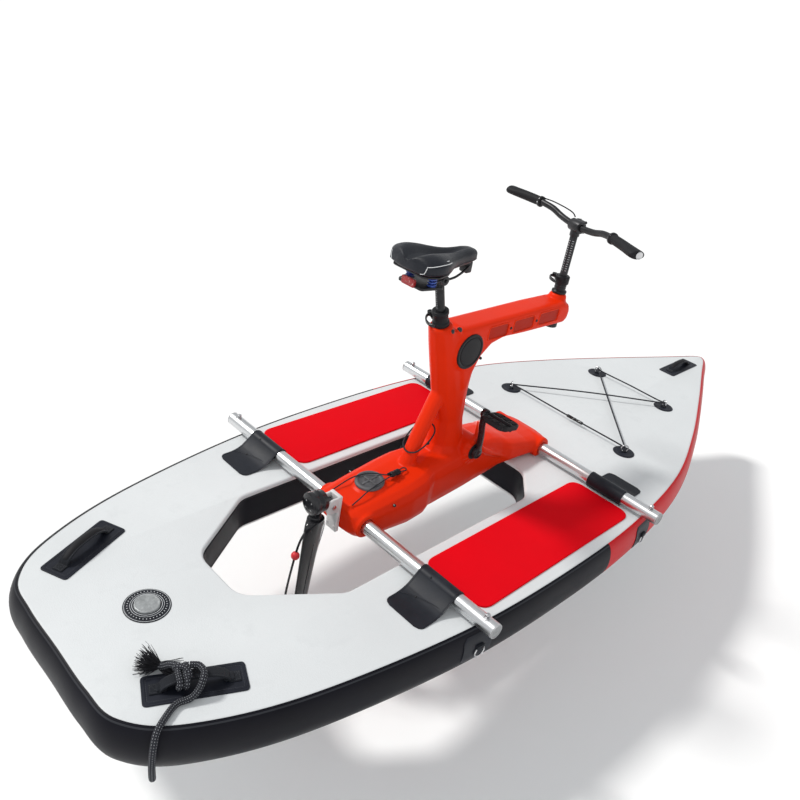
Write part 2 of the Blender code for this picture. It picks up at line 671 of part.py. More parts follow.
def make_frame():
    """The moulded frame: keel beam, seat column, forward arm, rear strut and bosses."""
    keel = loft([beam_section(*s) for s in KEEL_SECTIONS])
    frame = piece("frame_body", keel, "moulded_red")
    column = loft([stadium(rear, front, radius, HULL_THICK + z)
                   for z, rear, front, radius in COLUMN_SECTIONS])
    arm = helper(prism([(x, HULL_THICK + z) for x, z in ARM_PROFILE], -ARM_HALF, ARM_HALF, "XZ"))
    round_edges = arm.modifiers.new("edges", "BEVEL")
    round_edges.width = 0.016
    round_edges.segments = 2
    round_edges.limit_method = "ANGLE"
    round_edges.angle_limit = math.radians(60)
    strut_path = [(-0.070, 0, HULL_THICK + 0.410), (-0.112, 0, HULL_THICK + 0.320),
                  (-0.156, 0, HULL_THICK + 0.215), (-0.200, 0, HULL_THICK + 0.090)]
    strut = sweep(strut_path, [(a * 1.35, b) for a, b in circle(0.021, 10)])
    centre = (BRACKET.x, 0, BRACKET.z)
    crank_boss = turned(
        ((0, -0.089), (0.034, -0.089), (0.048, -0.078), (0.048, 0.078), (0.034, 0.089), (0, 0.089)),
        16, "Y", centre)
    disc_boss = drum(DISC_R + 0.004, -ARM_HALF - 0.002, ARM_HALF + 0.002, 20, "Y",
                     (DISC_CENTRE[0], 0, DISC_CENTRE[1]))
    seat_boss = along_seat(drum(0.036, -0.100, 0.010, 16))
    stem_boss = turned(((0, -0.060), (0.032, -0.060), (0.032, 0.004), (0.025, 0.016), (0, 0.016)),
                       16, "Z", (STEM_X - 0.002, 0, ARM_TOP))
    hatch_place = (HATCH_X, 0, HULL_THICK + 0.088)
    hatch_boss = moved(drum(HATCH_R + 0.006, -0.030, 0.014, 20), tilted(hatch_place, HATCH_TILT))
    bosses = [
        drum(0.041, -0.100, 0.100, 16, "Y", (-TUBE_X, 0, TUBE_Z)),
        drum(0.041, -0.116, 0.116, 16, "Y", (TUBE_X, 0, TUBE_Z)),
    ]
    for side in (1, -1):
        eye = (LIFT_EYE[0], side * LIFT_EYE[1], LIFT_EYE[2])
        bosses.append(drum(0.006, -0.0045, 0.0045, 8, "X", eye))
    for x, y in ((-0.108, -0.038), (-0.140, -0.036)):
        bosses.append(turned(((0, -0.02), (0.009, -0.02), (0.009, 0.002), (0.005, 0.006), (0, 0.007)),
                             8, "Z", (x, y, ARM_TOP)))
    added = [column, strut, crank_boss, disc_boss, seat_boss, stem_boss, hatch_boss] + bosses
    combine(frame, [arm] + [helper(bm) for bm in added], "UNION")

    cuts = [
        box((WELL_PLAN[3][0] - 0.02, -0.2, HULL_THICK - 0.03), (0.6, 0.2, HULL_THICK + 0.0012)),
        drum(TUBE_R + 2 * GAP, -0.2, 0.2, 20, "Y", (TUBE_X, 0, TUBE_Z)),
        drum(TUBE_R + 2 * GAP, -0.2, 0.2, 20, "Y", (-TUBE_X, 0, TUBE_Z)),
        along_seat(drum(SEAT_POST_R + GAP, -0.325, 0.030, 20)),
        drum(STEM_R + 2 * GAP, -0.120, 0.050, 20, "Z", (STEM_X, 0, ARM_TOP)),
        drum(0.0110 + GAP, -0.2, 0.2, 16, "Y", centre),
    ]
    for low, high in RECESSES:
        for side in (1, -1):
            faces = sorted((side * (ARM_HALF - 0.005), side * (ARM_HALF + 0.01)))
            outline = rounded(((low, 0.532), (high, 0.532), (high, 0.574), (low, 0.574)), 0.006, 1)
            cuts.append(prism([(p.x, HULL_THICK + p.y) for p in outline], *faces, "XZ"))
    combine(frame, [helper(bm) for bm in cuts], "DIFFERENCE")

    hatch = turned(
        ((0, 0), (HATCH_R, 0), (HATCH_R, 0.006), (HATCH_R - 0.004, 0.009), (0.036, 0.009),
         (0.034, 0.007), (0, 0.007)), 24)
    cover = piece("hatch_cover", hatch, "grey_plastic")
    above = Matrix.Rotation(HATCH_TILT, 4, "Y") @ Vector((0, 0, 0.014 + GAP))
    cover.location = Vector(hatch_place) + above
    cover.rotation_euler.y = HATCH_TILT
    for side, name in ((1, "port"), (-1, "starboard")):
        face = ARM_HALF + 0.002 + GAP
        profile = ((0, face), (DISC_R, face), (DISC_R, face + 0.003), (DISC_R - 0.004, face + 0.005),
                   (0, face + 0.005))
        disc = turned([(r, side * h) for r, h in profile], 24, "Y",
                      (DISC_CENTRE[0], 0, DISC_CENTRE[1]))
        piece(f"column_disc_{name}", disc, "black_plastic")


# Seat

COLLAR_BASE = 0.0103
COLLAR_HIGH = 0.052
POST_TOP = 0.170
SADDLE_BASE = 0.044


def lever_shape(hug):
    """A cam lever in its own plane: hub at the origin, handle curving round a collar at -Y."""
    hub = drum(0.009, 0.0, 0.014, 12)
    path = [(hug * math.sin(a), hug * (math.cos(a) - 1), 0.007) for a in
            [math.radians(-16 * k) for k in range(8)]]
    blade = sweep(path, strip(0.012, 0.006))
    return hub, blade


def make_seat():
    """Clamp collar with its cam lever, the sliding post, and the saddle on its rail frame."""
    collar_bm = along_seat(turned(
        ((SEAT_POST_R + GAP, 0), (0.026, 0), (0.026, 0.012), (0.023, 0.016), (0.023, 0.036),
         (0.0255, 0.040), (0.0255, COLLAR_HIGH - 0.003), (0.023, COLLAR_HIGH),
         (SEAT_POST_R + GAP, COLLAR_HIGH)), 20), COLLAR_BASE)
    collar = piece("seat_collar", collar_bm, "black_plastic")
    ear = along_seat(box((-0.008, 0.020, 0.008), (0.008, 0.034, 0.034)), COLLAR_BASE)
    combine(collar, [helper(ear)], "UNION")

    # The lever lies along the collar's aft side, and swings out about the collar's own up axis.
    hinge = seat_axis(COLLAR_BASE + 0.014) + Vector((0, 0.0435, 0))
    pin = pivot("seat_lever_axis", hinge)
    pin.rotation_euler = (0, -SEAT_TILT, 0)
    hub, blade = lever_shape(0.0435)
    lever = piece("seat_lever", hub, "black_metal", pin)
    combine(lever, [helper(blade, pin)], "UNION")

    slide = pivot("seat_post_axis", SEAT_POINT)
    slide.rotation_euler = (0, -SEAT_TILT, 0)
    post = piece("seat_post", drum(SEAT_POST_R, -0.230, POST_TOP - 0.002, 20), "black_metal", slide)
    barrel = drum(0.0125, -0.0180, 0.0180, 14, "Y", (0, 0, POST_TOP))
    combine(post, [helper(barrel, slide)], "UNION")

    tilt = pivot("saddle_axis", seat_axis(POST_TOP))
    rails = []
    for side in (1, -1):
        rails.append(drum(0.0140, *sorted((side * (0.0180 + GAP), side * 0.0260)), 14, "Y"))
        path = [(-0.052, side * 0.0215, 0.0), (-0.020, side * 0.0215, 0.002),
                (0.040, side * 0.0215, 0.004),
                (0.090, side * 0.018, 0.022), (0.112, side * 0.012, 0.034)]
        rails.append(sweep(smooth_path(path, 2), circle(0.0035, 6)))
    plate = rounded(((-0.122, 0.046), (-0.122, -0.046), (-0.050, -0.064), (-0.044, -0.046),
                     (-0.044, 0.046), (-0.050, 0.064)), 0.012, 2)
    rails.append(box((0.096, -0.016, 0.004), (0.120, 0.016, SADDLE_BASE - 0.004)))
    under = piece("saddle_frame", prism(plate, -0.004, 0.004), "black_metal", tilt)
    combine(under, [helper(bm, tilt) for bm in rails], "UNION")

    for side, name in ((1, "port"), (-1, "starboard")):
        low, high, ribs = 0.004 + GAP, SADDLE_BASE - GAP, 3
        profile = [(0, low)]
        for k in range(ribs * 2 + 1):
            level = low + (high - low) * k / (ribs * 2)
            profile.append((0.0135 if k % 2 else 0.0105, level))
        profile.append((0, high))
        bm = turned(profile, 12, "Z", (-0.078, side * 0.042, 0))
        piece(f"saddle_spring_{name}", bm, "spring_blue", tilt)

    stations = ((-0.146, 0.040, 0.006, 0.034), (-0.134, 0.076, 0.0, 0.044),
                (-0.100, 0.092, 0.0, 0.051), (-0.062, 0.086, 0.0, 0.048),
                (-0.024, 0.064, 0.0, 0.042), (0.016, 0.046, -0.002, 0.037),
                (0.056, 0.035, -0.004, 0.036), (0.094, 0.030, -0.004, 0.036),
                (0.120, 0.023, -0.002, 0.032), (0.129, 0.012, 0.004, 0.024))
    rings = [saddle_section(i / (len(stations) - 1), x, half, SADDLE_BASE + low, SADDLE_BASE + high)
             for i, (x, half, low, high) in enumerate(stations)]
    piece("saddle_cushion", loft(rings), "black_rubber", tilt)
    shine = prism(rounded_box((0.050, 0.024), 0.006, 2), -0.1305, -0.1223, "YZ")
    reflector = moved(shine, Matrix.Translation((0, 0, 0.010)))
    piece("saddle_reflector", reflector, "reflector_red", tilt)


def saddle_section(place, x, half, low, high, steps=9):
    """One section of the saddle: crowned, with a channel along the middle that fades at the nose."""
    channel = 0.014 * math.sin(math.pi * min(1.0, place * 1.25)) ** 2
    top = []
    for k in range(steps):
        t = -1 + 2 * k / (steps - 1)
        crown = (1 - abs(t) ** 2.6) * 0.65 + 0.35 * (1 - t * t)
        dip = channel * math.exp(-((t / 0.28) ** 2))
        top.append((x, half * t, low + (high - low) * (0.45 + 0.55 * crown) - dip))
    belly = [(x, half * t, low) for t in (0.86, 0.45, 0.0, -0.45, -0.86)]
    return top + belly


# Steering

HEAD_Z = BAR_Z
BAR_PATH = (
    (0.0, 0.032, 0.0), (0.0, 0.085, 0.006), (-0.005, 0.130, 0.018),
    (-0.014, 0.176, 0.0235), (-0.040, 0.330, 0.0235),
)
GRIP_START = 0.182


def lie_along(start, end):
    """A transform that lays +Z along the line from start to end."""
    way = (Vector(end) - Vector(start)).normalized()
    return Matrix.Translation(start) @ way.to_track_quat("Z", "Y").to_matrix().to_4x4()


def make_steering():
    """Steering tube through the arm, telescopic stem, clamp head, handlebar, grips and cable."""
    turn = pivot("steer_axis", (STEM_X, 0, 0), STEER_AT_REST)
    boss_top = ARM_TOP + 0.016
    bore = 0.0130 + GAP
    low = HULL_THICK + 0.482
    shaft = turned(
        ((bore, low + 0.004), (0.024, low), (0.024, low + 0.012), (STEM_R, low + 0.012),
         (STEM_R, boss_top + GAP), (0.026, boss_top + GAP), (0.026, boss_top + 0.007),
         (0.019, boss_top + 0.012), (0.019, boss_top + 0.062), (bore, boss_top + 0.062)), 20)
    piece("stem_tube", shaft, "black_metal", turn)
    base = boss_top + 0.034
    ring = turned(
        ((0.019 + GAP, base), (0.0245, base), (0.0245, base + 0.024), (0.022, base + 0.0275),
         (0.019 + GAP, base + 0.0275)), 20)
    collar = piece("stem_collar", ring, "black_plastic", turn)
    ear = box((-0.008, 0.018, base + 0.004), (0.008, 0.033, base + 0.022))
    combine(collar, [helper(ear, turn)], "UNION")
    cut = drum(0.019 + 2 * GAP, base - 0.01, base + 0.04, 20)
    combine(collar, [helper(cut, turn)], "DIFFERENCE")

    pin = pivot("stem_lever_axis", (0, 0.0425, base + 0.006), parent=turn)
    hub, blade = lever_shape(0.0425)
    lever = piece("stem_lever", hub, "black_metal", pin)
    combine(lever, [helper(blade, pin)], "UNION")

    post = drum(0.0130, HULL_THICK + 0.555, HEAD_Z - 0.034, 20)
    piece("stem_post", post, "black_metal", turn)
    head = drum(0.0165, HEAD_Z - 0.034 + GAP, HEAD_Z - 0.008, 16)
    clamp = drum(0.0205, -0.024, 0.024, 20, "Y", (0, 0, HEAD_Z))
    bolts = [drum(0.0045, -0.0065, 0.0065, 6, "X", (0.018, y, HEAD_Z + z))
             for y in (-0.014, 0.014) for z in (-0.017, 0.017)]
    stem_head = piece("stem_head", head, "black_metal", turn)
    combine(stem_head, [helper(clamp, turn)] + [helper(b, turn) for b in bolts], "UNION")
    through = drum(BAR_R + 2 * GAP, -0.05, 0.05, 16, "Y", (0, 0, HEAD_Z))
    combine(stem_head, [helper(through, turn)], "DIFFERENCE")

    tilt = pivot("bar_axis", (0, 0, HEAD_Z), parent=turn)
    port = [Vector(p) for p in BAR_PATH]
    half = smooth_path(port[:-1], 2) + port[-1:]
    path = [Vector((p.x, -p.y, p.z)) for p in half[::-1]] + half
    piece("handlebar", sweep(path, circle(BAR_R, 12)), "black_metal", tilt)
    for side, name in ((1, "port"), (-1, "starboard")):
        inner, outer = (Vector((p.x, side * p.y, p.z)) for p in (port[-2], port[-1]))
        way = (outer - inner).normalized()
        start = inner + way * (GRIP_START - 0.176)
        end = outer + way * 0.006
        frame = lie_along(start, end)
        length = (end - start).length
        rings = []
        for t, wide, deep in ((0, 0.0165, 0.0165), (0.04, 0.0185, 0.0185), (0.10, 0.0160, 0.0160),
                              (0.35, 0.0165, 0.0158), (0.62, 0.0200, 0.0160), (0.85, 0.0270, 0.0150),
                              (0.96, 0.0270, 0.0145), (1.0, 0.0220, 0.0125)):
            rings.append([(wide * math.cos(a), deep * math.sin(a), length * t) for a in
                          [2 * math.pi * k / 14 for k in range(14)]])
        grip = piece(f"grip_{name}", moved(loft(rings), frame), "black_rubber", tilt)
        hollow = drum(BAR_R + 3 * GAP, -0.02, length - 0.006 + GAP, 12)
        combine(grip, [helper(moved(hollow, frame), tilt)], "DIFFERENCE")
    wire = [(0.006, 0.0250, 0.0235), (0.018, 0.055, 0.028), (0.020, 0.100, 0.031),
            (0.006, 0.145, 0.036), (-0.0105, 0.170, 0.0385), (-0.0126, 0.1817, 0.0385)]
    cable = sweep(smooth_path(wire, 3), circle(0.0022, 6))
    piece("bar_cable", cable, "black_rubber", tilt)


# Cranks and pedals

def crank_arm(side):
    """A crank arm that widens at both ends, its outer face on the given side."""
    near, far = sorted((side * CRANK_Y, side * (CRANK_Y + 0.015)))
    outline = arc((0, 0), 0.019, 160, 380, 8) + arc((0, CRANK), 0.0145, 10, 170, 7)
    waist = [(0.0095, CRANK * 0.45), (-0.0095, CRANK * 0.45)]
    outline = outline[:9] + waist[:1] + outline[9:] + waist[1:]
    return prism(outline, near, far, "XZ")


def make_cranks():
    """The axle in one with the starboard crank, the port crank, and both pedals."""
    turn = pivot("crank_axis", BRACKET, CRANK_AT_REST, "Y")
    starboard = piece("crank_starboard", crank_arm(-1), "black_metal", turn)
    axle = drum(0.0110, -CRANK_Y - 0.010, CRANK_Y + 0.012, 16, "Y")
    combine(starboard, [helper(axle, turn)], "UNION")
    down = Matrix.Rotation(math.pi, 4, "Y")
    port = piece("crank_port", moved(crank_arm(1), down), "black_metal", turn)
    combine(port, [helper(drum(0.0110 + GAP, 0.07, 0.12, 16, "Y"), turn)], "DIFFERENCE")
    for arm, side, name in ((starboard, -1, "starboard"), (port, 1, "port")):
        height = CRANK if side < 0 else -CRANK
        hole = drum(0.006 + GAP, 0.05, 0.14, 12, "Y") if side > 0 else drum(
            0.006 + GAP, -0.14, -0.05, 12, "Y")
        place = Matrix.Translation((0, 0, height))
        combine(arm, [helper(moved(hole, place), turn)], "DIFFERENCE")
        spin = pivot(f"pedal_axis_{name}", (0, 0, height), PEDAL_AT_REST, "Y", turn)
        make_pedal(f"pedal_{name}", side, spin)


def make_pedal(name, side, spin):
    """A platform pedal: spindle, barrel and an open cage of treads."""
    inner, outer = PEDAL_Y
    middle, width = (inner + outer) / 2, outer - inner
    deck = [(x, y + side * middle) for x, y in rounded_box((0.100, width), 0.022, 3)]
    cage = piece(name, prism(deck, -0.008, 0.008), "black_plastic", spin)
    spindle = drum(0.006, *sorted((side * (CRANK_Y + 0.002), side * (outer - 0.01))), 12, "Y")
    barrel = drum(0.0115, *sorted((side * (inner + 0.001), side * (outer - 0.004))), 14, "Y")
    windows = []
    cell = (width - 0.020) / 3
    for x in (-0.0300, 0.0300):
        for k in range(3):
            y = side * (inner + 0.010 + cell * (k + 0.5))
            half = (0.0125, cell / 2 - 0.003)
            windows.append(box((x - half[0], y - half[1], -0.02), (x + half[0], y + half[1], 0.02)))
    combine(cage, [helper(w, spin) for w in windows], "DIFFERENCE")
    combine(cage, [helper(barrel, spin), helper(spindle, spin)], "UNION")


# Drive leg

def make_leg():
    """Fork bracket, tilting head, steered leg with its gear case, and the propeller."""
    x, z = KICK_AXIS.x, KICK_AXIS.z
    cheek = arc((x, z), 0.0265, 75, 285, 9) + [(-0.485, z - 0.030), (-0.485, z + 0.026)]
    bracket = piece("leg_bracket", prism(cheek, -0.0235, 0.0235, "XZ"), "pale_plastic")
    plate = box((-0.489, -0.024, HULL_THICK - 0.020), (-FRAME_END - GAP, 0.024, HULL_THICK + 0.112))
    slot = box((-0.560, -0.0145, z - 0.060), (-0.489, 0.0145, z + 0.060))
    combine(bracket, [helper(plate)], "UNION")
    combine(bracket, [helper(slot), helper(drum(0.006 + GAP, -0.05, 0.05, 12, "Y", KICK_AXIS))],
            "DIFFERENCE")

    kick = pivot("leg_kick_axis", KICK_AXIS)
    aft = LEG_AXIS - KICK_AXIS
    barrel = turned(((0, -0.031), (0.024, -0.031), (0.037, -0.026), (0.037, -0.012), (0.034, -0.009),
                     (0.034, 0.0210), (0, 0.0210)), 20, "X", aft)
    tongue = box((aft.x, -0.0140, -0.012), (0.013, 0.0140, 0.015))
    pin = drum(0.006, -0.0265, 0.0265, 10, "Y")
    neck = drum(0.0195, -0.0605, -0.020, 16, "Z", aft)
    stub = drum(0.0110, -0.0900, -0.050, 12, "Z", aft)
    head = piece("leg_head", barrel, "black_plastic", kick)
    combine(head, [helper(bm, kick) for bm in (tongue, pin, neck, stub)], "UNION")

    steer = pivot("leg_steer_axis", aft, -STEER_AT_REST, parent=kick)
    rake = Matrix.Rotation(LEG_RAKE, 4, "Y")
    top = -0.0605 - GAP
    sections = ((top, 0.030, 0.024), (top - 0.020, 0.044, 0.020), (-0.160, 0.043, 0.015),
                (-0.300, 0.037, 0.012), (-LEG_LENGTH + 0.01, 0.030, 0.012))
    rings = [foil(level, chord, thick, (level - top) * math.tan(LEG_RAKE))
             for level, chord, thick in sections]
    leg = piece("drive_leg", loft(rings), "black_plastic", steer)
    foot = Vector(((-LEG_LENGTH - top) * math.tan(LEG_RAKE), 0, -LEG_LENGTH))
    case_profile = ((0, -0.062), (0.020, -0.062), (0.029, -0.046), (0.031, 0.0), (0.027, 0.045),
                    (0.016, 0.080), (0, 0.096))
    case = turned(case_profile, 16, "X", foot)
    skeg = prism(((0.030, 0.0), (-0.050, 0.0), (-0.055, -0.075), (-0.030, -0.085)),
                 -0.004, 0.004, "XZ")
    skeg = moved(skeg, Matrix.Translation(foot))
    guard = smooth_path([(-0.026, 0, -0.074), (-0.068, 0, -0.110), (-0.092, 0, -0.180),
                         (-0.112, 0, -0.280), (-0.108, 0, -0.345), (-0.060, 0, -0.385)], 3)
    guard = sweep(guard, circle(0.0035, 6))
    bead = turned(((0, -0.013), (0.009, -0.010), (0.013, 0), (0.009, 0.010), (0, 0.013)), 10, "Z",
                  (-0.083, 0, -0.150))
    stay = sweep(smooth_path([(0.036, 0, -0.080), (0.058, 0, -0.112), (0.052, 0, -0.160),
                              (-0.012, 0, -0.340)], 3), circle(0.0022, 5))
    combine(leg, [helper(bm, steer) for bm in (case, skeg, guard, bead, stay)], "UNION")
    bores = [drum(0.0110 + 2 * GAP, -0.0905, -0.050, 12), drum(0.005 + GAP, -0.09, -0.030, 10, "X", foot)]
    combine(leg, [helper(bm, steer) for bm in bores], "DIFFERENCE")

    spin = pivot("propeller_axis", foot + Vector((-0.062, 0, 0)), parent=steer)
    hub = turned(((0, -0.052), (0.008, -0.050), (0.017, -0.040), (0.021, -0.022), (0.021, -GAP),
                  (0.005, -GAP), (0.005, 0.024), (0, 0.024)), 14, "X")
    screw = piece("propeller", hub, "black_plastic", spin)
    blades = [helper(propeller_blade(turn), spin) for turn in (0, math.pi)]
    combine(screw, blades, "UNION")


def foil(z, chord, thick, shift):
    """A lens-shaped level section of the leg, its half chord and half thickness given."""
    found = []
    for k in range(14):
        t = 2 * math.pi * k / 14
        found.append((shift + chord * math.cos(t), thick * math.sin(t), z))
    return found


def propeller_blade(turn):
    """One twisted blade that stands out from the hub, about the propeller's fore-and-aft axis."""
    rings = []
    for share in (0.12, 0.35, 0.60, 0.82, 0.96, 1.0):
        radius = PROP_R * share
        half = 0.024 * math.sqrt(max(0.05, 1 - (abs(share - 0.55) / 0.48) ** 2)) + 0.004
        pitch = math.atan2(0.20, 2 * math.pi * radius)
        ring = []
        for k in range(8):
            t = 2 * math.pi * k / 8
            a, b = half * math.cos(t), 0.0022 * math.sin(t)
            ring.append((-0.022 + a * math.sin(pitch) + b * math.cos(pitch),
                         a * math.cos(pitch) - b * math.sin(pitch), radius))
        rings.append(ring)
    return moved(loft(rings), Matrix.Rotation(turn, 4, "X"))


# Cords and rope

ROPE_R = 0.008
KNOT_ALONG = -0.030
KNOT_RISE = 0.0330
ROPE_ON_HANDLE = (
    (-0.0125, 0.0130, 0.0515), (-0.0045, 0.0115, 0.0517), (0.0080, 0.0070, 0.0515),
    (0.0165, -0.0100, 0.0500), (0.0120, -0.0285, 0.0430), (0.0010, -0.0400, 0.0260),
    (-0.0170, -0.0480, 0.0125), (-0.0480, -0.0540, 0.0088),
)
ROPE_OVER_RAIL = (
    (-1.2280, -0.3260, 0.1391), (-1.2600, -0.3450, 0.1324), (-1.2780, -0.3620, 0.1080),
    (-1.2840, -0.3680, 0.0700), (-1.2830, -0.3670, 0.0350), (-1.2800, -0.3640, 0.0120),
)
LIFT_R = 0.0020
LIFT_EYE = (-0.461, 0.046, 0.2145)
LIFT_ROUTE = (
    (-0.4557, 0.046, 0.2150), (-0.4200, 0.044, 0.2270), (-0.3900, 0.040, 0.2375),
    (-0.3550, 0.031, 0.2440), (-0.3200, 0.008, 0.2490), (-0.3040, -0.014, 0.2515),
    (-0.2860, -0.0235, 0.2525), (-0.2450, -0.0225, 0.2530), (-0.2260, -0.0200, 0.2530),
    (-0.2190, -0.0275, 0.2530), (-0.2260, -0.0350, 0.2530), (-0.2450, -0.0325, 0.2530),
    (-0.2860, -0.0335, 0.2525), (-0.3050, -0.0345, 0.2515), (-0.3500, -0.0370, 0.2445),
    (-0.3900, -0.0400, 0.2375), (-0.4230, -0.0440, 0.2270), (-0.4557, -0.046, 0.2150),
)


def cord(name, route, radius, each, finish, resolution=2):
    """A cord as a round tube along a smooth curve through its route."""
    curve = bpy.data.curves.new(name, "CURVE")
    curve.dimensions = "3D"
    curve.bevel_depth = radius
    curve.bevel_resolution = resolution
    curve.use_fill_caps = True
    points = smooth_path(route, each)
    spline = curve.splines.new("POLY")
    spline.points.add(len(points) - 1)
    for point, place in zip(spline.points, points):
        point.co = (*place, 1)
    curve.materials.append(material(finish))
    obj = bpy.data.objects.new(name, curve)
    bpy.context.scene.collection.objects.link(obj)
    return obj


def make_rope():
    """The mooring rope hitched on the starboard handle, its frayed tail, and its hanging end."""
    x, y = STERN_HANDLE
    handle_frame = (Matrix.Translation((x, -y, HULL_THICK + GAP))
                    @ Matrix.Rotation(-STERN_HANDLE_TURN, 4, "Z"))
    # Two turns side by side, as one band with a groove between them
    turns = [(0.006, 0), (0.008, 0.007), (0.004, 0.0145), (-0.004, 0.0145), (-0.008, 0.007)]
    turns += [(-a, -b) for a, b in turns]
    oval = [(KNOT_ALONG, 0.0278 * math.cos(a), KNOT_RISE + 0.0171 * math.sin(a)) for a in
            [2 * math.pi * k / 12 for k in range(12)]]
    hitch = sweep(oval, turns, closed=True)
    route = [handle_frame @ Vector(p) for p in ROPE_ON_HANDLE] + list(ROPE_OVER_RAIL)
    lump = turned(((0, 0), (0.013, 0.003), (0.017, 0.012), (0.012, 0.021), (0, 0.024)), 10, "Z",
                  (KNOT_ALONG - 0.0014, 0.0062, KNOT_RISE + 0.0108))
    first, second = Vector(ROPE_ON_HANDLE[0]), Vector(ROPE_ON_HANDLE[1])
    along = (second - first).normalized()
    lead = sweep([Vector((KNOT_ALONG - 0.002, 0.008, KNOT_RISE + 0.018)), first - along * 0.004,
                  first - along * 2.5 * GAP], circle(ROPE_R, 8))
    tail = smooth_path([(KNOT_ALONG, 0.014, 0.046), (-0.048, 0.036, 0.034), (-0.078, 0.057, 0.0115)], 2)
    brush = turned(((0, 0), (0.0085, 0), (0.011, 0.016), (0.018, 0.050), (0.021, 0.072), (0, 0.082)), 8)
    brush = moved(brush, lie_along((-0.072, 0.054, 0.0140), (-0.165, 0.088, 0.0330)))
    pieces = [lead, lump, sweep(tail, circle(ROPE_R, 6)), brush]
    knot = piece("rope_knot", moved(hitch, handle_frame), "rope_black")
    combine(knot, [helper(moved(bm, handle_frame)) for bm in pieces], "UNION")
    cord("rope", route, ROPE_R, 2, "rope_black", 2)


def make_lift_cord():
    """The cord that lifts the leg, its toggle, and the spare loop round the strut."""
    cord("lift_cord", LIFT_ROUTE, LIFT_R, 2, "rope_black", 1)
    toggle = sweep([(-0.286, -0.0280, 0.2525), (-0.248, -0.0280, 0.2530)],
                   [(a * 1.35, b) for a, b in circle(0.0085, 12)])
    lock = piece("cord_toggle", toggle, "black_plastic")
    bores = []
    for y in (-0.0230, -0.0330):
        bores.append(helper(sweep([(-0.300, y, 0.2525), (-0.200, y, 0.2530)], circle(0.0030, 8))))
    combine(lock, bores, "DIFFERENCE")
    loop = [(-0.103, 0.0, 0.372), (-0.1165, 0.032, 0.362), (-0.1505, 0.040, 0.336),
            (-0.1865, 0.030, 0.308), (-0.1985, 0.0, 0.296), (-0.1865, -0.030, 0.306),
            (-0.1505, -0.040, 0.334), (-0.1165, -0.032, 0.362)]
    ring = sweep(smooth_path(loop, 2, closed=True), circle(0.0025, 6), closed=True)
    piece("strut_loop", ring, "rope_black")


def main():
    for obj in list(bpy.data.objects):
        bpy.data.objects.remove(obj, do_unlink=True)
    make_hull()
    make_well_lining()
    make_rail_strips()
    make_pads()
    make_sleeves()
    make_tubes()
    make_handles()
    make_valve()
    make_bungee()
    make_frame()
    make_seat()
    make_steering()
    make_cranks()
    make_leg()
    make_rope()
    make_lift_cord()


main()
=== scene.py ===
import json
import math
import random

import bmesh
import bpy
from mathutils import Matrix, Vector, geometry, noise

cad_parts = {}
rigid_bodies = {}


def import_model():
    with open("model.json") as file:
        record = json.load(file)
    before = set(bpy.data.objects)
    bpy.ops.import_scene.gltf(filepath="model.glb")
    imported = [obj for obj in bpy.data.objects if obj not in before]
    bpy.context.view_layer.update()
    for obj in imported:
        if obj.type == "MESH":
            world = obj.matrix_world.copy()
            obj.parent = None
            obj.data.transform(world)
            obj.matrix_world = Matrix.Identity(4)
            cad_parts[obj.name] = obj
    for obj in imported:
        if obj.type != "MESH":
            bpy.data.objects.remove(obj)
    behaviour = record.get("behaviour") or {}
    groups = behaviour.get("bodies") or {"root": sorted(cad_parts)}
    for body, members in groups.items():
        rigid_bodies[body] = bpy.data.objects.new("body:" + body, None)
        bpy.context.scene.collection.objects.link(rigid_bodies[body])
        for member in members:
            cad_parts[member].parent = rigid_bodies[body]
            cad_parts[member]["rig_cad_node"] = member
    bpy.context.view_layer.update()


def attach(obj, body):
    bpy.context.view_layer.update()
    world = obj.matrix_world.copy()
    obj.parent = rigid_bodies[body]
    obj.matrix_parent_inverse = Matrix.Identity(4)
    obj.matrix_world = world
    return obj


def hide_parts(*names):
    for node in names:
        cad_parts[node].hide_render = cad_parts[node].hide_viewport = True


bl_info = {
    "name": "Water Bike",
    "version": (1, 0, 0),
    "blender": (4, 5, 0),
    "location": "View3D > Sidebar > Water Bike",
    "description": "Dresses the packed water bike with its detailed pieces, finishes and studio",
    "category": "Object",
}

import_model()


def mm(*rows):
    """Rows of millimetres as rows of metres."""
    return [tuple(value / 1000 for value in row) for row in rows]


# Places and sizes shared with the construction, in metres: +X bow, +Y port, +Z up
GAP = 0.0003  # left between pieces that touch
T = 0.13  # the board's thickness, so the height of its deck
BULGE = 0.028  # how far the board's side swells past its flat faces
HALF_PLAN = mm(
    (-1320, 0), (-1320, 150), (-1302, 262), (-1190, 360), (-920, 458), (-450, 540), (0, 562),
    (400, 549), (800, 490), (1150, 374), (1500, 226), (1820, 80), (1942, 26), (1975, 0)
)
SEAM_X = 0.19
WELL_PLAN = mm(
    (-885, 95), (-640, 252), (170, 252), (288, 150), (288, -150), (170, -252), (-640, -252),
    (-885, -95)
)
PAD_X = (-0.378, 0.405)
PAD_Y = (0.29, 0.527)
TUBE_X = 0.433
TUBE_Z = T + 0.03
TUBE_R = 0.0225
TUBE_HALF = 0.61
SLEEVE_Y = (0.335, 0.475)
STERN = (-1.127, 0.281)
STERN_TURN = math.radians(24.5)
BOW_HANDLE_X = 1.735
VALVE_X = -1.095
ARM_HALF = 0.05
ARM_TOP = T + 0.592
INSET_Z = T + 0.553
STEM_X = 0.45
STEM_POST_R = 0.013
SEAT_POST_R = 0.0136
DISC = (-0.053, T + 0.513)
DISC_R = 0.058
HATCH_R = 0.047
CRANK = 0.158
CRANK_Y = 0.094
PEDAL_Y = (0.114, 0.214)
BAR_Z = T + 0.844
BAR_R = 0.011
LEG_LENGTH = 0.505
PROP_R = 0.105

SIDES = ((1, "port"), (-1, "starboard"))


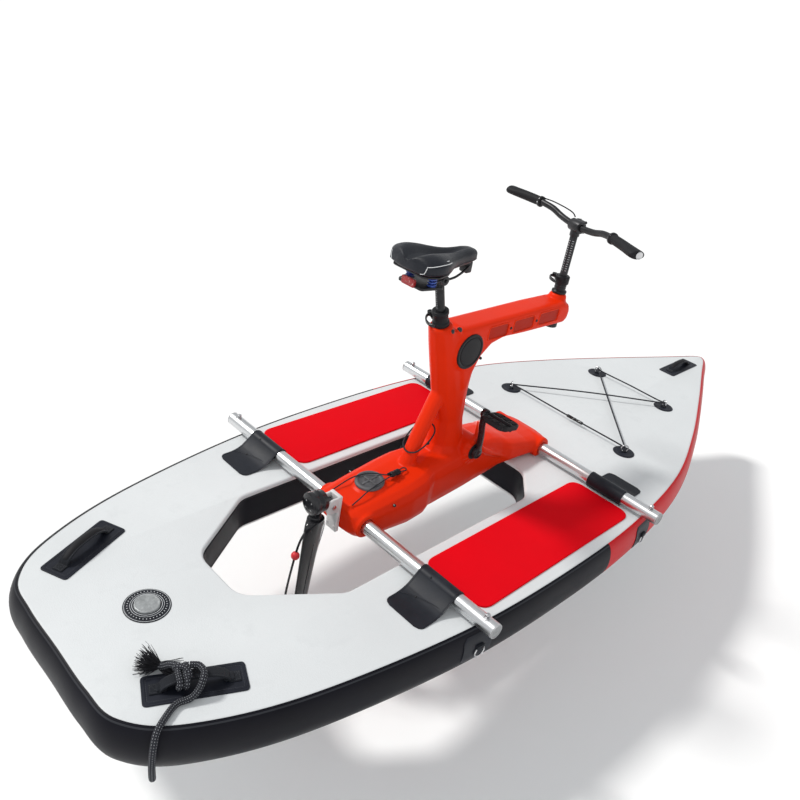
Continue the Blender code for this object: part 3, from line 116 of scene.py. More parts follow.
def at(place, turn=0.0, axis="Y"):
    """A transform that turns about an axis, then moves to a place."""
    return Matrix.Translation(place) @ Matrix.Rotation(turn, 4, axis)


SEAT_FRAME = at((-0.15, 0, T + 0.593), math.radians(-17))
SADDLE_FRAME = Matrix.Translation(SEAT_FRAME @ Vector((0, 0, 0.17)))
STEER_FRAME = at((STEM_X, 0, 0), math.radians(-16), "Z")
BAR_FRAME = STEER_FRAME @ Matrix.Translation((0, 0, BAR_Z))
CRANK_FRAME = at((0.043, 0, T + 0.135), math.radians(-3))
KICK_FRAME = Matrix.Translation((-0.5085, 0, T + 0.084))
LEG_FRAME = at((-0.557, 0, T + 0.11), math.radians(16), "Z")
STERN_FRAMES = {
    name: at((STERN[0], side * STERN[1], T + GAP), side * STERN_TURN, "Z") for side, name in SIDES
}
HATCH_TILT = math.radians(-7)
HATCH_FRAME = at(Vector((-0.345, 0, T + 0.088)) + Matrix.Rotation(HATCH_TILT, 4, "Y")
                 @ Vector((0, 0, 0.014 + GAP)), HATCH_TILT)


# Shapes

def skin(rings, ends=True, closed=True, looped=True):
    """A skin through rings of equal point counts, with an end face on the first and last.

    Without ends the last ring joins the first one again, or the skin stays an open tube."""
    bm = bmesh.new()
    rows = [[bm.verts.new(p) for p in ring] for ring in rings]
    count = len(rows[0])
    spans = list(zip(rows, rows[1:])) + ([(rows[-1], rows[0])] if looped and not ends else [])
    for low, high in spans:
        for i in range(count if closed else count - 1):
            j = (i + 1) % count
            bm.faces.new((low[i], low[j], high[j], high[i]))
    if ends and closed:
        bm.faces.new(rows[0][::-1])
        bm.faces.new(rows[-1])
    return bm


def prism(outline, low, high, plane="XY"):
    """An outline pushed from low to high along the axis square to its plane."""
    def place(a, b, c):
        return {"XY": (a, b, c), "XZ": (a, c, b), "YZ": (c, a, b)}[plane]
    return skin([[place(a, b, level) for a, b in outline] for level in (low, high)])


def arc(centre, radius, start, end, steps):
    """Points on an arc, angles in degrees."""
    turns = [math.radians(start + (end - start) * i / steps) for i in range(steps + 1)]
    return [(centre[0] + radius * math.cos(t), centre[1] + radius * math.sin(t)) for t in turns]


def turns_of(steps):
    """Even angles all round."""
    return [2 * math.pi * k / steps for k in range(steps)]


def circle(radius, steps, wide=1.0):
    """A closed ring of points, its first axis stretched by wide."""
    return [(radius * wide * math.cos(t), radius * math.sin(t)) for t in turns_of(steps)]


def rounded(points, radius, steps=8):
    """A closed outline with each corner rounded to the radius, or as far as its sides allow."""
    found = []
    for i, here in enumerate(points):
        here = Vector(here)
        back = Vector(points[i - 1]) - here
        ahead = Vector(points[(i + 1) % len(points)]) - here
        cut = min(radius / math.tan(back.angle(ahead) / 2), 0.48 * back.length, 0.48 * ahead.length)
        first, last = here + back.normalized() * cut, here + ahead.normalized() * cut
        for k in range(steps + 1):
            t = k / steps
            found.append(first * (1 - t) ** 2 + here * (2 * t * (1 - t)) + last * t**2)
    return [(p.x, p.y) for p in found]


def plate_outline(length, width, radius, steps=6):
    """The outline of a rectangle about the origin with rounded corners."""
    a, b = length / 2, width / 2
    return rounded(((a, b), (-a, b), (-a, -b), (a, -b)), radius, steps)


def curve_at(a, b, c, d, t):
    """The point at a share of the way from b to c on the smooth curve through all four."""
    return 0.5 * (2 * b + (c - a) * t + (2 * a - 5 * b + 4 * c - d) * t**2
                  + (3 * b - a - 3 * c + d) * t**3)


def smooth_path(points, each, closed=False):
    """Points on a smooth curve through the given ones, with this many steps a span."""
    found, count = [], len(points)
    for i in range(count if closed else count - 1):
        if closed:
            a, b, c, d = (Vector(points[(i + k - 1) % count]) for k in range(4))
        else:
            b, c = Vector(points[i]), Vector(points[i + 1])
            a = Vector(points[i - 1]) if i else b + (b - c)
            d = Vector(points[i + 2]) if i + 2 < count else c + (c - b)
        found += [curve_at(a, b, c, d, k / each) for k in range(each)]
    return found if closed else found + [Vector(points[-1])]


def sweep(points, ring, closed=False, sizes=None):
    """A ring of (side, up) offsets carried along a path without twist, with a UV map in metres.

    U runs once round the ring and V along the path; sizes scale the ring at each point."""
    points = [Vector(p) for p in points]
    count, rings, run, up, length = len(points), [], [], None, 0.0
    for i, here in enumerate(points):
        if closed:
            along = points[(i + 1) % count] - points[i - 1]
        else:
            along = points[min(i + 1, count - 1)] - points[max(i - 1, 0)]
        along.normalize()
        if up is None:
            up = Vector((0, 0, 1)) if abs(along.z) < 0.9 else Vector((1, 0, 0))
        up = (up - along * up.dot(along)).normalized()
        side = up.cross(along)
        size = sizes[i] if sizes else 1.0
        rings.append([here + (side * a + up * b) * size for a, b in ring])
        length += (here - points[i - 1]).length if i else 0.0
        run.append(length)
    bm = skin(rings, ends=not closed)
    across = len(ring)
    uv = bm.loops.layers.uv.new("along")
    bm.verts.index_update()
    for face in bm.faces:
        if len(face.verts) != 4:
            continue
        wrap = {v.index % across for v in face.verts} == {0, across - 1}
        loop_end = {v.index // across for v in face.verts} == {0, count - 1}
        for corner in face.loops:
            i, k = divmod(corner.vert.index, across)
            u = 1.0 if wrap and k == 0 else k / across
            corner[uv].uv = (u, run[-1] + 0.004 if loop_end and i == 0 else run[i])
    return bm


def turned(profile, steps=48, axis="Z", centre=(0, 0, 0)):
    """A profile of (radius, height) pairs turned about an axis: from pole to pole, or a ring."""
    bm = bmesh.new()
    solid, rows = profile[0][0] == 0, []
    for radius, height in profile:
        if radius == 0:
            rows.append([bm.verts.new((0, 0, height))])
            continue
        rows.append([bm.verts.new((x, y, height)) for x, y in circle(radius, steps)])
    for low, high in list(zip(rows, rows[1:])) + ([] if solid else [(rows[-1], rows[0])]):
        for i in range(steps):
            j = (i + 1) % steps
            corners = [row[k % len(row)] for row, k in ((low, i), (low, j), (high, j), (high, i))]
            bm.faces.new(list(dict.fromkeys(corners)))
    swing = {"X": Matrix.Rotation(math.pi / 2, 4, "Y"), "Y": Matrix.Rotation(-math.pi / 2, 4, "X")}
    bm.transform(Matrix.Translation(centre) @ swing.get(axis, Matrix.Identity(4)))
    return bm


def eased(profile, edge=0.0008):
    """A lathe profile with each inner corner cut by a small round."""
    found = [profile[0]]
    for a, b, c in zip(profile, profile[1:], profile[2:]):
        a, b, c = Vector(a), Vector(b), Vector(c)
        back, ahead = a - b, c - b
        cut = min(edge, 0.3 * back.length, 0.3 * ahead.length)
        if b.x == 0 or cut == 0:
            found.append(tuple(b))
            continue
        first, last = b + back.normalized() * cut, b + ahead.normalized() * cut
        found += [tuple(first), tuple(first * 0.25 + b * 0.5 + last * 0.25), tuple(last)]
    return found + [profile[-1]]


def rod(radius, low, high, axis="Z", centre=(0, 0, 0), steps=32, edge=0.0008):
    """A round bar between two heights, its rims rounded off."""
    profile = ((0, low), (radius, low), (radius, high), (0, high))
    return turned(eased(profile, edge), steps, axis, centre)


def side_rod(radius, side, near, far, centre=(0, 0, 0), steps=32, edge=0.0008):
    """A round bar along Y on one side, between two distances from the middle."""
    return rod(radius, *sorted((side * near, side * far)), "Y", centre, steps, edge)


def hoop(radius, wire, steps=40):
    """A wire ring in the YZ plane."""
    return sweep([(0, y, z) for z, y in circle(radius, steps)], circle(wire, 12), closed=True)


def softened(bm, width, segments=3, angle=40):
    """The same shape with its sharp edges rounded off."""
    bmesh.ops.recalc_face_normals(bm, faces=bm.faces)
    edges = [e for e in bm.edges if len(e.link_faces) == 2
             and e.calc_face_angle() > math.radians(angle)]
    bmesh.ops.bevel(bm, geom=edges, offset=width, offset_type="OFFSET", segments=segments,
                    profile=0.5, affect="EDGES", clamp_overlap=True)
    return bm


def block(low, high, edge=0.0015):
    """A solid between two corners with rounded edges."""
    outline = ((low[0], low[1]), (high[0], low[1]), (high[0], high[1]), (low[0], high[1]))
    return softened(prism(outline, low[2], high[2]), edge)


def inward_of(outline):
    """The inward direction at each point of a counter-clockwise outline."""
    found, count = [], len(outline)
    for i in range(count):
        (ax, ay), (bx, by) = outline[i - 1], outline[(i + 1) % count]
        length = math.hypot(bx - ax, by - ay) or 1.0
        found.append(((ay - by) / length, (bx - ax) / length))
    return found


def outward_of(outline):
    """The outward direction at each point of a counter-clockwise outline."""
    return [(-x, -y) for x, y in inward_of(outline)]


def shifted(outline, ways, reach, z):
    """An outline at a height, each point moved this far along its own direction."""
    return [(x + nx * reach, y + ny * reach, z) for (x, y), (nx, ny) in zip(outline, ways)]


def pillow(outline, low, high, edge, rows=6):
    """A slab whose upper rim rolls over to its top face."""
    inward = inward_of(outline)
    rings = [[(x, y, low) for x, y in outline]]
    for k in range(rows + 1):
        t = math.pi / 2 * k / rows
        rise = high - edge + edge * math.sin(t)
        rings.append(shifted(outline, inward, edge * (1 - math.cos(t)), rise))
    return skin(rings)


def moved(bm, matrix):
    """The same shape after a transform."""
    bm.transform(matrix)
    return bm


def lie_along(start, end):
    """A transform that lays +Z along the line from start to end."""
    way = (Vector(end) - Vector(start)).normalized()
    return Matrix.Translation(start) @ way.to_track_quat("Z", "Y").to_matrix().to_4x4()


def path_length(points):
    """The length of a line through points."""
    return sum((Vector(b) - Vector(a)).length for a, b in zip(points, points[1:]))


# Making and handing over pieces

def join(whole, extra):
    """Adds a shape to another one."""
    carried = bpy.data.meshes.new("carried")
    extra.to_mesh(carried)
    extra.free()
    whole.from_mesh(carried)
    bpy.data.meshes.remove(carried)


def merged(shapes):
    """One shape from several, the faces of each turned outward."""
    for shape in shapes:
        bmesh.ops.recalc_face_normals(shape, faces=shape.faces)
    whole = shapes[0]
    for extra in shapes[1:]:
        join(whole, extra)
    return whole


def make(name, shapes, look, body, nodes=(), crisp=38, place=None):
    """One object from one or more closed shapes, given its finish and handed to its body."""
    shapes = shapes if isinstance(shapes, list) else [shapes]
    if place is not None:
        for shape in shapes:
            shape.transform(place)
    whole = merged(shapes)
    mesh = bpy.data.meshes.new(name)
    whole.to_mesh(mesh)
    whole.free()
    return adopt(name, mesh, look, body, nodes, crisp)


def adopt(name, mesh, look, body, nodes=(), crisp=38):
    """An object for a finished mesh, riding on its body in place of the CAD nodes it stands for."""
    mesh.shade_smooth()
    mesh.set_sharp_from_angle(angle=math.radians(crisp))
    mesh.materials.clear()
    mesh.materials.append(finish(look))
    obj = bpy.data.objects.new(name, mesh)
    bpy.context.scene.collection.objects.link(obj)
    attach(obj, body)
    if nodes:
        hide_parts(*nodes)
    return obj


# Finishes

def node(tree, kind, inputs=None, **settings):
    """A shader or geometry node with its settings, values and links."""
    made = tree.nodes.new(kind)
    for key, value in settings.items():
        setattr(made, key, value)
    for key, value in (inputs or {}).items():
        if isinstance(value, bpy.types.NodeSocket):
            tree.links.new(value, made.inputs[key])
        else:
            made.inputs[key].default_value = value
    return made


def mixed(tree, factor, first, second, blend="MIX"):
    """A colour between two others."""
    step = node(tree, "ShaderNodeMix", {0: factor}, data_type="RGBA", blend_type=blend)
    for socket, value in ((step.inputs[6], first), (step.inputs[7], second)):
        if isinstance(value, bpy.types.NodeSocket):
            tree.links.new(value, socket)
        else:
            socket.default_value = (*value[:3], 1)
    return step.outputs[2]


def sums(tree, operation, a, b=0.0):
    """One step of arithmetic."""
    return node(tree, "ShaderNodeMath", {0: a, 1: b}, operation=operation).outputs[0]


def spread(tree, value, low, high, to_low=0.0, to_high=1.0):
    """A value carried from one range to another."""
    return node(tree, "ShaderNodeMapRange",
                {"Value": value, "From Min": low, "From Max": high, "To Min": to_low,
                 "To Max": to_high}).outputs["Result"]


def shade(colour, share):
    """A colour made lighter or darker by a share."""
    return tuple(min(1.0, c * (1 + share)) for c in colour)


def surface(name, colour, roughness, metallic=0.0, tint=0.08, tint_scale=5.0, grain=700.0,
            depth=0.1, relief="grain", stretch=(1, 1, 1), wear=0.0, worn=None, coat=0.0,
            sheen=0.0, gloss=0.5, marks=0.0, mark_colour=(0.4, 0.4, 0.4), mark_scale=7.0,
            cell=0.0008):
    """A procedural finish: broad tint, fine relief, uneven roughness, light edges and scuffs."""
    material = bpy.data.materials.new(name)
    material.use_nodes = True
    tree = material.node_tree
    shader = tree.nodes["Principled BSDF"]
    where = node(tree, "ShaderNodeTexCoord").outputs["Object"]
    place = node(tree, "ShaderNodeMapping", {"Vector": where, "Scale": stretch}).outputs[0]
    broad = node(tree, "ShaderNodeTexNoise", {"Vector": place, "Scale": tint_scale, "Detail": 5.0,
                                              "Roughness": 0.6}).outputs["Fac"]
    if relief == "leather":
        field = node(tree, "ShaderNodeTexVoronoi", {"Vector": place, "Scale": grain},
                     feature="DISTANCE_TO_EDGE").outputs["Distance"]
        height = spread(tree, field, 0.0, 0.25)
    elif relief == "weave":
        waves = {"Vector": place, "Scale": grain, "Distortion": 0.3}
        across, along = (node(tree, "ShaderNodeTexWave", waves, bands_direction=way).outputs["Fac"]
                         for way in ("X", "Y"))
        height = sums(tree, "MAXIMUM", across, along)
    elif relief == "quilt":
        cells = node(tree, "ShaderNodeTexVoronoi", {"Vector": place, "Scale": grain},
                     feature="F1").outputs["Distance"]
        height = spread(tree, cells, 0.0, 0.8, 1.0, 0.0)
    else:
        height = node(tree, "ShaderNodeTexNoise",
                      {"Vector": place, "Scale": grain, "Detail": 3.0}).outputs["Fac"]
    tone = mixed(tree, spread(tree, broad, 0.3, 0.7), shade(colour, -tint), shade(colour, tint))
    # painted shade: the relief's hollows are darkened toward four tenths of the colour, by up to
    # the tint's share
    tone = mixed(tree, sums(tree, "MULTIPLY", spread(tree, height, 0.7, 0.2), tint), tone,
                 shade(colour, -0.6))
    if marks:
        blotch = node(tree, "ShaderNodeTexNoise",
                      {"Vector": place, "Scale": mark_scale, "Detail": 8.0, "Roughness": 0.7})
        amount = spread(tree, blotch.outputs["Fac"], 0.56, 0.75, 0.0, marks)
        tone = mixed(tree, amount, tone, mark_colour)
    if wear:
        edge = node(tree, "ShaderNodeNewGeometry").outputs["Pointiness"]
        patchy = sums(tree, "MULTIPLY", spread(tree, edge, 0.51, 0.58, 0.0, wear),
                      spread(tree, broad, 0.35, 0.6))
        tone = mixed(tree, patchy, tone, worn or shade(colour, 1.5))
    tree.links.new(tone, shader.inputs["Base Color"])
    uneven = spread(tree, broad, 0.3, 0.7, max(0.03, roughness - 0.07), min(1.0, roughness + 0.08))
    tree.links.new(uneven, shader.inputs["Roughness"])
    bump = node(tree, "ShaderNodeBump", {"Height": height, "Strength": depth, "Distance": cell})
    tree.links.new(bump.outputs[0], shader.inputs["Normal"])
    shader.inputs["Metallic"].default_value = metallic
    shader.inputs["Coat Weight"].default_value = coat
    shader.inputs["Coat Roughness"].default_value = 0.25
    shader.inputs["Sheen Weight"].default_value = sheen
    shader.inputs["Specular IOR Level"].default_value = gloss
    material.diffuse_color = (*colour, 1)
    return material


def braid(name, colour, glint_colour, strands, pitch, glint_share=0.8):
    """Braided cord from the UV map along it: crossing strands in relief with light flecks."""
    material = bpy.data.materials.new(name)
    material.use_nodes = True
    tree = material.node_tree
    shader = tree.nodes["Principled BSDF"]
    where = node(tree, "ShaderNodeUVMap", uv_map="along").outputs[0]
    split = node(tree, "ShaderNodeSeparateXYZ", {0: where})
    around = sums(tree, "MULTIPLY", split.outputs[0], 2 * math.pi * strands / 2)
    along = sums(tree, "MULTIPLY", split.outputs[1], 2 * math.pi / pitch)
    left = sums(tree, "SINE", sums(tree, "ADD", around, along))
    right = sums(tree, "SINE", sums(tree, "SUBTRACT", around, along))
    relief = sums(tree, "MAXIMUM", sums(tree, "ABSOLUTE", left), sums(tree, "ABSOLUTE", right))
    # painted glints: pale spots of the glint colour on the crowns where the strands cross, thinned
    # out by noise
    crossing = spread(tree, sums(tree, "MULTIPLY", left, right), 0.55, 0.8, 0.0, glint_share)
    spots = node(tree, "ShaderNodeTexNoise", {"Vector": where, "Scale": 300.0}).outputs["Fac"]
    lit = sums(tree, "MULTIPLY", crossing, spread(tree, spots, 0.35, 0.6))
    # painted highlight and shade: the strands' crowns are painted lighter and their grooves darker
    tone = mixed(tree, spread(tree, relief, 0.4, 1.0), shade(colour, -0.6), shade(colour, 0.4))
    tree.links.new(mixed(tree, lit, tone, glint_colour), shader.inputs["Base Color"])
    tree.links.new(spread(tree, relief, 0.4, 1.0, 0.9, 0.6), shader.inputs["Roughness"])
    fuzz = sums(tree, "ADD", relief, sums(tree, "MULTIPLY", spots, 0.3))
    bump = node(tree, "ShaderNodeBump", {"Height": fuzz, "Strength": 0.7, "Distance": 0.0012})
    tree.links.new(bump.outputs[0], shader.inputs["Normal"])
    shader.inputs["Specular IOR Level"].default_value = 0.2
    material.diffuse_color = (*colour, 1)
    return material


# Each finish: its material's name, colour, roughness and the rest of what surface takes. A colour
# is plain values, or the name of a setting with the share by which it is made lighter.
LOOKS = {
    "deck": ("deck_fabric", ("deck_colour", 0), 0.5,
             dict(tint=0.035, tint_scale=2.2, grain=330, depth=0.3, relief="quilt", marks=0.3,
                  cell=0.0006, mark_colour=(0.5, 0.52, 0.53), mark_scale=9)),
    "rail": ("rail_fabric", ("rail_colour", 0), 0.42,
             dict(tint=0.25, grain=420, depth=0.14, gloss=0.12, marks=0.05,
                  mark_colour=(0.03, 0.032, 0.04))),
    "bow": ("bow_fabric", ("bow_colour", 0), 0.4,
            dict(grain=420, depth=0.12, gloss=0.15, marks=0.06, mark_colour=(0.6, 0.03, 0.035))),
    "seam": ("seam_tape", (0.03, 0.032, 0.038), 0.6,
             dict(tint=0.2, grain=500, depth=0.2, gloss=0.15)),
    "pad": ("foam_pad", ("pad_colour", 0), 0.66,
            dict(tint=0.05, tint_scale=3, grain=1500, depth=0.35, gloss=0.04, marks=0.05,
                 cell=0.0005, mark_colour=(0.72, 0.03, 0.035))),
    "tube": ("anodised_tube", (0.68, 0.69, 0.7), 0.3,
             dict(metallic=1.0, tint=0.1, tint_scale=14, grain=260, depth=0.08,
                  stretch=(9, 0.35, 9), marks=0.18, mark_colour=(0.38, 0.38, 0.39), mark_scale=5)),
    "steel": ("wire_steel", (0.62, 0.62, 0.63), 0.24,
              dict(metallic=1.0, tint=0.12, tint_scale=60, grain=900, depth=0.05)),
    "moulded": ("moulded_shell", ("frame_colour", 0), 0.34,
                dict(tint=0.06, tint_scale=3.5, grain=620, depth=0.16, wear=0.3,
                     worn=(0.85, 0.08, 0.015), gloss=0.08, marks=0.05,
                     mark_colour=(0.55, 0.03, 0.01))),
    "inset": ("inset_panel", ("frame_colour", -0.42), 0.55,
              dict(tint=0.1, grain=500, depth=0.35, gloss=0.15, wear=0.1,
                   worn=("frame_colour", -0.2))),
    "tread": ("tread_plastic", ("fitting_colour", 0.05), 0.5,
              dict(tint=0.3, tint_scale=20, grain=900, depth=0.2, gloss=0.3)),
    "plastic": ("black_plastic", ("fitting_colour", 0), 0.42,
                dict(tint=0.3, tint_scale=20, grain=900, depth=0.16, gloss=0.18, wear=0.2,
                     worn=(0.05, 0.05, 0.055))),
    "gloss": ("gloss_plastic", ("fitting_colour", 0), 0.2,
              dict(tint=0.3, tint_scale=15, grain=300, depth=0.04, gloss=0.35, wear=0.3,
                   worn=(0.06, 0.06, 0.065), coat=0.1)),
    "metal": ("painted_metal", ("fitting_colour", 0), 0.36,
              dict(metallic=0.2, tint=0.25, tint_scale=25, grain=1100, depth=0.08, gloss=0.35,
                   wear=0.3, worn=(0.12, 0.12, 0.13))),
    "rubber": ("grip_rubber", ("fitting_colour", 0.1), 0.62,
               dict(tint=0.3, tint_scale=18, grain=800, depth=0.35, gloss=0.2, wear=0.2,
                    worn=(0.05, 0.05, 0.055))),
    "sheet": ("sleeve_sheet", (0.014, 0.016, 0.022), 0.46,
              dict(tint=0.35, tint_scale=11, grain=260, depth=0.2, gloss=0.2, marks=0.2,
                   mark_colour=(0.04, 0.045, 0.055), mark_scale=14)),
    "patch": ("glued_patch", (0.012, 0.014, 0.022), 0.44,
              dict(tint=0.3, tint_scale=16, grain=500, depth=0.18, gloss=0.22, marks=0.15,
                   mark_colour=(0.05, 0.055, 0.07))),
    "webbing": ("strap_webbing", (0.011, 0.013, 0.018), 0.72,
                dict(tint=0.3, grain=170, depth=0.8, relief="weave", sheen=0.05, gloss=0.2)),
    "vinyl": ("saddle_vinyl", (0.01, 0.012, 0.018), 0.4,
              dict(tint=0.25, tint_scale=9, grain=520, depth=0.4, relief="leather", gloss=0.28,
                   cell=0.0004)),
    "thread": ("stitch_thread", (0.055, 0.058, 0.066), 0.7, dict(tint=0.2, grain=1500, depth=0.4)),
    "piping": ("reflective_piping", (0.72, 0.73, 0.74), 0.4,
               dict(tint=0.05, grain=1500, depth=0.2)),
    "print": ("pale_print", (0.62, 0.64, 0.66), 0.5,
              dict(tint=0.12, tint_scale=120, grain=900, depth=0.1)),
    "grey": ("hatch_plastic", (0.06, 0.06, 0.066), 0.5,
             dict(tint=0.15, tint_scale=25, depth=0.35, wear=0.5, worn=(0.2, 0.2, 0.21))),
    "pale": ("bracket_plastic", (0.6, 0.58, 0.58), 0.42,
             dict(tint_scale=20, grain=500, depth=0.2, wear=0.3, marks=0.25,
                  mark_colour=(0.34, 0.32, 0.33), mark_scale=24)),
    "cap": ("valve_cap_foil", (0.34, 0.355, 0.36), 0.34,
            dict(metallic=0.25, tint=0.22, tint_scale=45, grain=75, depth=0.9, marks=0.5,
                 mark_colour=(0.62, 0.64, 0.64), mark_scale=55, cell=0.0015)),
    "plug": ("tube_end_cap", (0.3, 0.305, 0.31), 0.45,
             dict(metallic=0.2, tint=0.1, tint_scale=30, grain=600, depth=0.2, wear=0.3)),
    "spring": ("spring_enamel", (0.015, 0.045, 0.3), 0.28,
               dict(metallic=0.1, tint=0.15, tint_scale=40, depth=0.08, wear=0.5,
                    worn=(0.1, 0.2, 0.6), coat=0.2)),
    "lens": ("reflector_lens", (0.36, 0.003, 0.005), 0.18,
             dict(tint=0.2, tint_scale=60, grain=420, depth=0.8, relief="leather", coat=0.2,
                  cell=0.001)),
    "bead": ("red_bead", (0.62, 0.02, 0.03), 0.35, dict(tint=0.12, tint_scale=80, depth=0.15)),
    "bristle": ("loose_strands", (0.024, 0.024, 0.028), 0.8,
                dict(tint=0.5, tint_scale=200, grain=1500, depth=0.2, gloss=0.15)),
}
# Each braid: its material's name, colour, the colour of its painted glints, strands round and pitch
BRAIDS = {
    "rope": ("mooring_rope", (0.018, 0.019, 0.024), (0.5, 0.52, 0.55), 8.0, 0.011),
    "cord": ("elastic_cord", (0.02, 0.021, 0.026), (0.12, 0.12, 0.13), 6.0, 0.005),
}


def own_colour(colour):
    """A finish's colour, with the name of a setting turned into the setting's values."""
    if not isinstance(colour[0], str):
        return colour
    setting, share = colour
    return shade(getattr(bpy.context.scene.water_bike, setting), share)


def new_finish(look):
    """The material for a named finish."""
    if look in BRAIDS:
        return braid(*BRAIDS[look])
    name, colour, roughness, rest = LOOKS[look]
    if "worn" in rest:
        rest = dict(rest, worn=own_colour(rest["worn"]))
    return surface(name, own_colour(colour), roughness, **rest)


MADE = {}


def finish(look):
    """The named finish, built the first time that a piece asks for it."""
    if look not in MADE:
        MADE[look] = new_finish(look)
    return MADE[look]


# Repeated details by Geometry Nodes

def detail_tree(name, inputs):
    """An empty geometry tree with named inputs, and its input and output nodes."""
    tree = bpy.data.node_groups.new(name, "GeometryNodeTree")
    tree.interface.new_socket("Geometry", in_out="INPUT", socket_type="NodeSocketGeometry")
    for label, kind, value in inputs:
        socket = tree.interface.new_socket(label, in_out="INPUT", socket_type=f"NodeSocket{kind}")
        if value is not None:
            socket.default_value = value
    tree.interface.new_socket("Geometry", in_out="OUTPUT", socket_type="NodeSocketGeometry")
    return tree, tree.nodes.new("NodeGroupInput").outputs, tree.nodes.new("NodeGroupOutput")


def close_tree(tree, given, end, instances):
    """The instances made real, given the tree's material and sent to its output."""
    real = node(tree, "GeometryNodeRealizeInstances", {"Geometry": instances}).outputs[0]
    coated = node(tree, "GeometryNodeSetMaterial",
                  {"Geometry": real, "Material": given["Material"]}).outputs[0]
    tree.links.new(coated, end.inputs[0])
    return tree


def aligned(tree, inputs, **settings):
    """A rotation that turns an axis toward a direction."""
    return node(tree, "FunctionNodeAlignRotationToVector", inputs, **settings).outputs[0]


def row_tree(blocks):
    """Beads or blocks at an even pitch along every line of the mesh."""
    tree, given, end = detail_tree("blocks_along_line" if blocks else "stitches_along_line", (
        ("Pitch", "Float", 0.005), ("Size", "Vector", (0.0035, 0.0009, 0.0007)),
        ("Up", "Vector", (0.0, 0.0, 1.0)), ("Material", "Material", None)))
    line = node(tree, "GeometryNodeMeshToCurve", {"Mesh": given["Geometry"]}).outputs[0]
    even = node(tree, "GeometryNodeResampleCurve", {"Curve": line, "Length": given["Pitch"]},
                mode="LENGTH").outputs[0]
    if blocks:
        item = node(tree, "GeometryNodeMeshCube").outputs["Mesh"]
    else:
        item = node(tree, "GeometryNodeMeshIcoSphere",
                    {"Radius": 0.5, "Subdivisions": 2}).outputs["Mesh"]
    tangent = node(tree, "GeometryNodeInputTangent").outputs[0]
    along = aligned(tree, {"Vector": tangent}, axis="X")
    stood = aligned(tree, {"Rotation": along, "Vector": given["Up"]}, axis="Z", pivot_axis="X")
    set_out = node(tree, "GeometryNodeInstanceOnPoints",
                   {"Points": even, "Instance": item, "Rotation": stood, "Scale": given["Size"]})
    return close_tree(tree, given, end, set_out.outputs[0])


def point_tree():
    """Blocks that stand on each point of the mesh, turned by two given directions."""
    tree, given, end = detail_tree("blocks_on_points", (
        ("Size", "Vector", (0.01, 0.01, 0.004)), ("Facing", "Vector", (0.0, 0.0, 1.0)),
        ("Along", "Vector", (1.0, 0.0, 0.0)), ("Material", "Material", None)))
    item = node(tree, "GeometryNodeMeshCube", {"Size": (1, 1, 1)}).outputs["Mesh"]
    turn = aligned(tree, {"Vector": given["Facing"]}, axis="Z")
    turn = aligned(tree, {"Rotation": turn, "Vector": given["Along"]}, axis="X", pivot_axis="Z")
    set_out = node(tree, "GeometryNodeInstanceOnPoints",
                   {"Points": given["Geometry"], "Instance": item, "Rotation": turn,
                    "Scale": given["Size"]})
    return close_tree(tree, given, end, set_out.outputs[0])


def strand_tree():
    """Loose strands that fan out of the faces of the mesh, with a fixed seed."""
    tree, given, end = detail_tree("loose_strands", (
        ("Density", "Float", 90000.0), ("Length", "Float", 0.08), ("Thickness", "Float", 0.0006),
        ("Splay", "Float", 0.35), ("Seed", "Int", 7), ("Material", "Material", None)))
    spots = node(tree, "GeometryNodeDistributePointsOnFaces",
                 {"Mesh": given["Geometry"], "Density": given["Density"], "Seed": given["Seed"]})
    strand = node(tree, "GeometryNodeMeshCone",
                  {"Vertices": 4, "Side Segments": 7, "Radius Top": 0.25, "Radius Bottom": 0.5,
                   "Depth": 1.0}, fill_type="NONE").outputs["Mesh"]
    lean = node(tree, "FunctionNodeRandomValue", {"Seed": given["Seed"]}, data_type="FLOAT_VECTOR")
    lean.inputs[0].default_value = (-1, -1, -1)
    lean.inputs[1].default_value = (1, 1, 1)
    sway = node(tree, "ShaderNodeVectorMath", {0: lean.outputs[0]}, operation="SCALE")
    tree.links.new(given["Splay"], sway.inputs["Scale"])
    aim = node(tree, "ShaderNodeVectorMath", {0: spots.outputs["Normal"], 1: sway.outputs[0]},
               operation="ADD").outputs[0]
    turn = aligned(tree, {"Vector": aim}, axis="Z")
    long = node(tree, "FunctionNodeRandomValue", {"Seed": given["Seed"]}, data_type="FLOAT")
    long.inputs[2].default_value, long.inputs[3].default_value = 0.45, 1.0
    reach = sums(tree, "MULTIPLY", long.outputs[1], given["Length"])
    size = node(tree, "ShaderNodeCombineXYZ",
                {0: given["Thickness"], 1: given["Thickness"], 2: reach}).outputs[0]
    set_out = node(tree, "GeometryNodeInstanceOnPoints",
                   {"Points": spots.outputs["Points"], "Instance": strand, "Rotation": turn,
                    "Scale": size}).outputs[0]
    real = node(tree, "GeometryNodeRealizeInstances", {"Geometry": set_out}).outputs[0]
    place = node(tree, "GeometryNodeInputPosition").outputs[0]
    drift = node(tree, "ShaderNodeTexNoise", {"Vector": place, "Scale": 28.0}).outputs["Color"]
    centred = node(tree, "ShaderNodeVectorMath", {0: drift, 1: (0.5, 0.5, 0.5)},
                   operation="SUBTRACT").outputs[0]
    bent = node(tree, "ShaderNodeVectorMath", {0: centred, "Scale": 0.012}, operation="SCALE")
    waved = node(tree, "GeometryNodeSetPosition", {"Geometry": real, "Offset": bent.outputs[0]})
    return close_tree(tree, given, end, waved.outputs[0])


TREE_MAKERS = {"stitches": lambda: row_tree(False), "ticks": lambda: row_tree(True),
               "blocks": point_tree, "strands": strand_tree}
TREES = {}


def carrier_of(shape):
    """A passing object for a shape, to carry modifiers."""
    mesh = bpy.data.meshes.new("carrier")
    shape.to_mesh(mesh)
    shape.free()
    carrier = bpy.data.objects.new("carrier", mesh)
    bpy.context.scene.collection.objects.link(carrier)
    return carrier


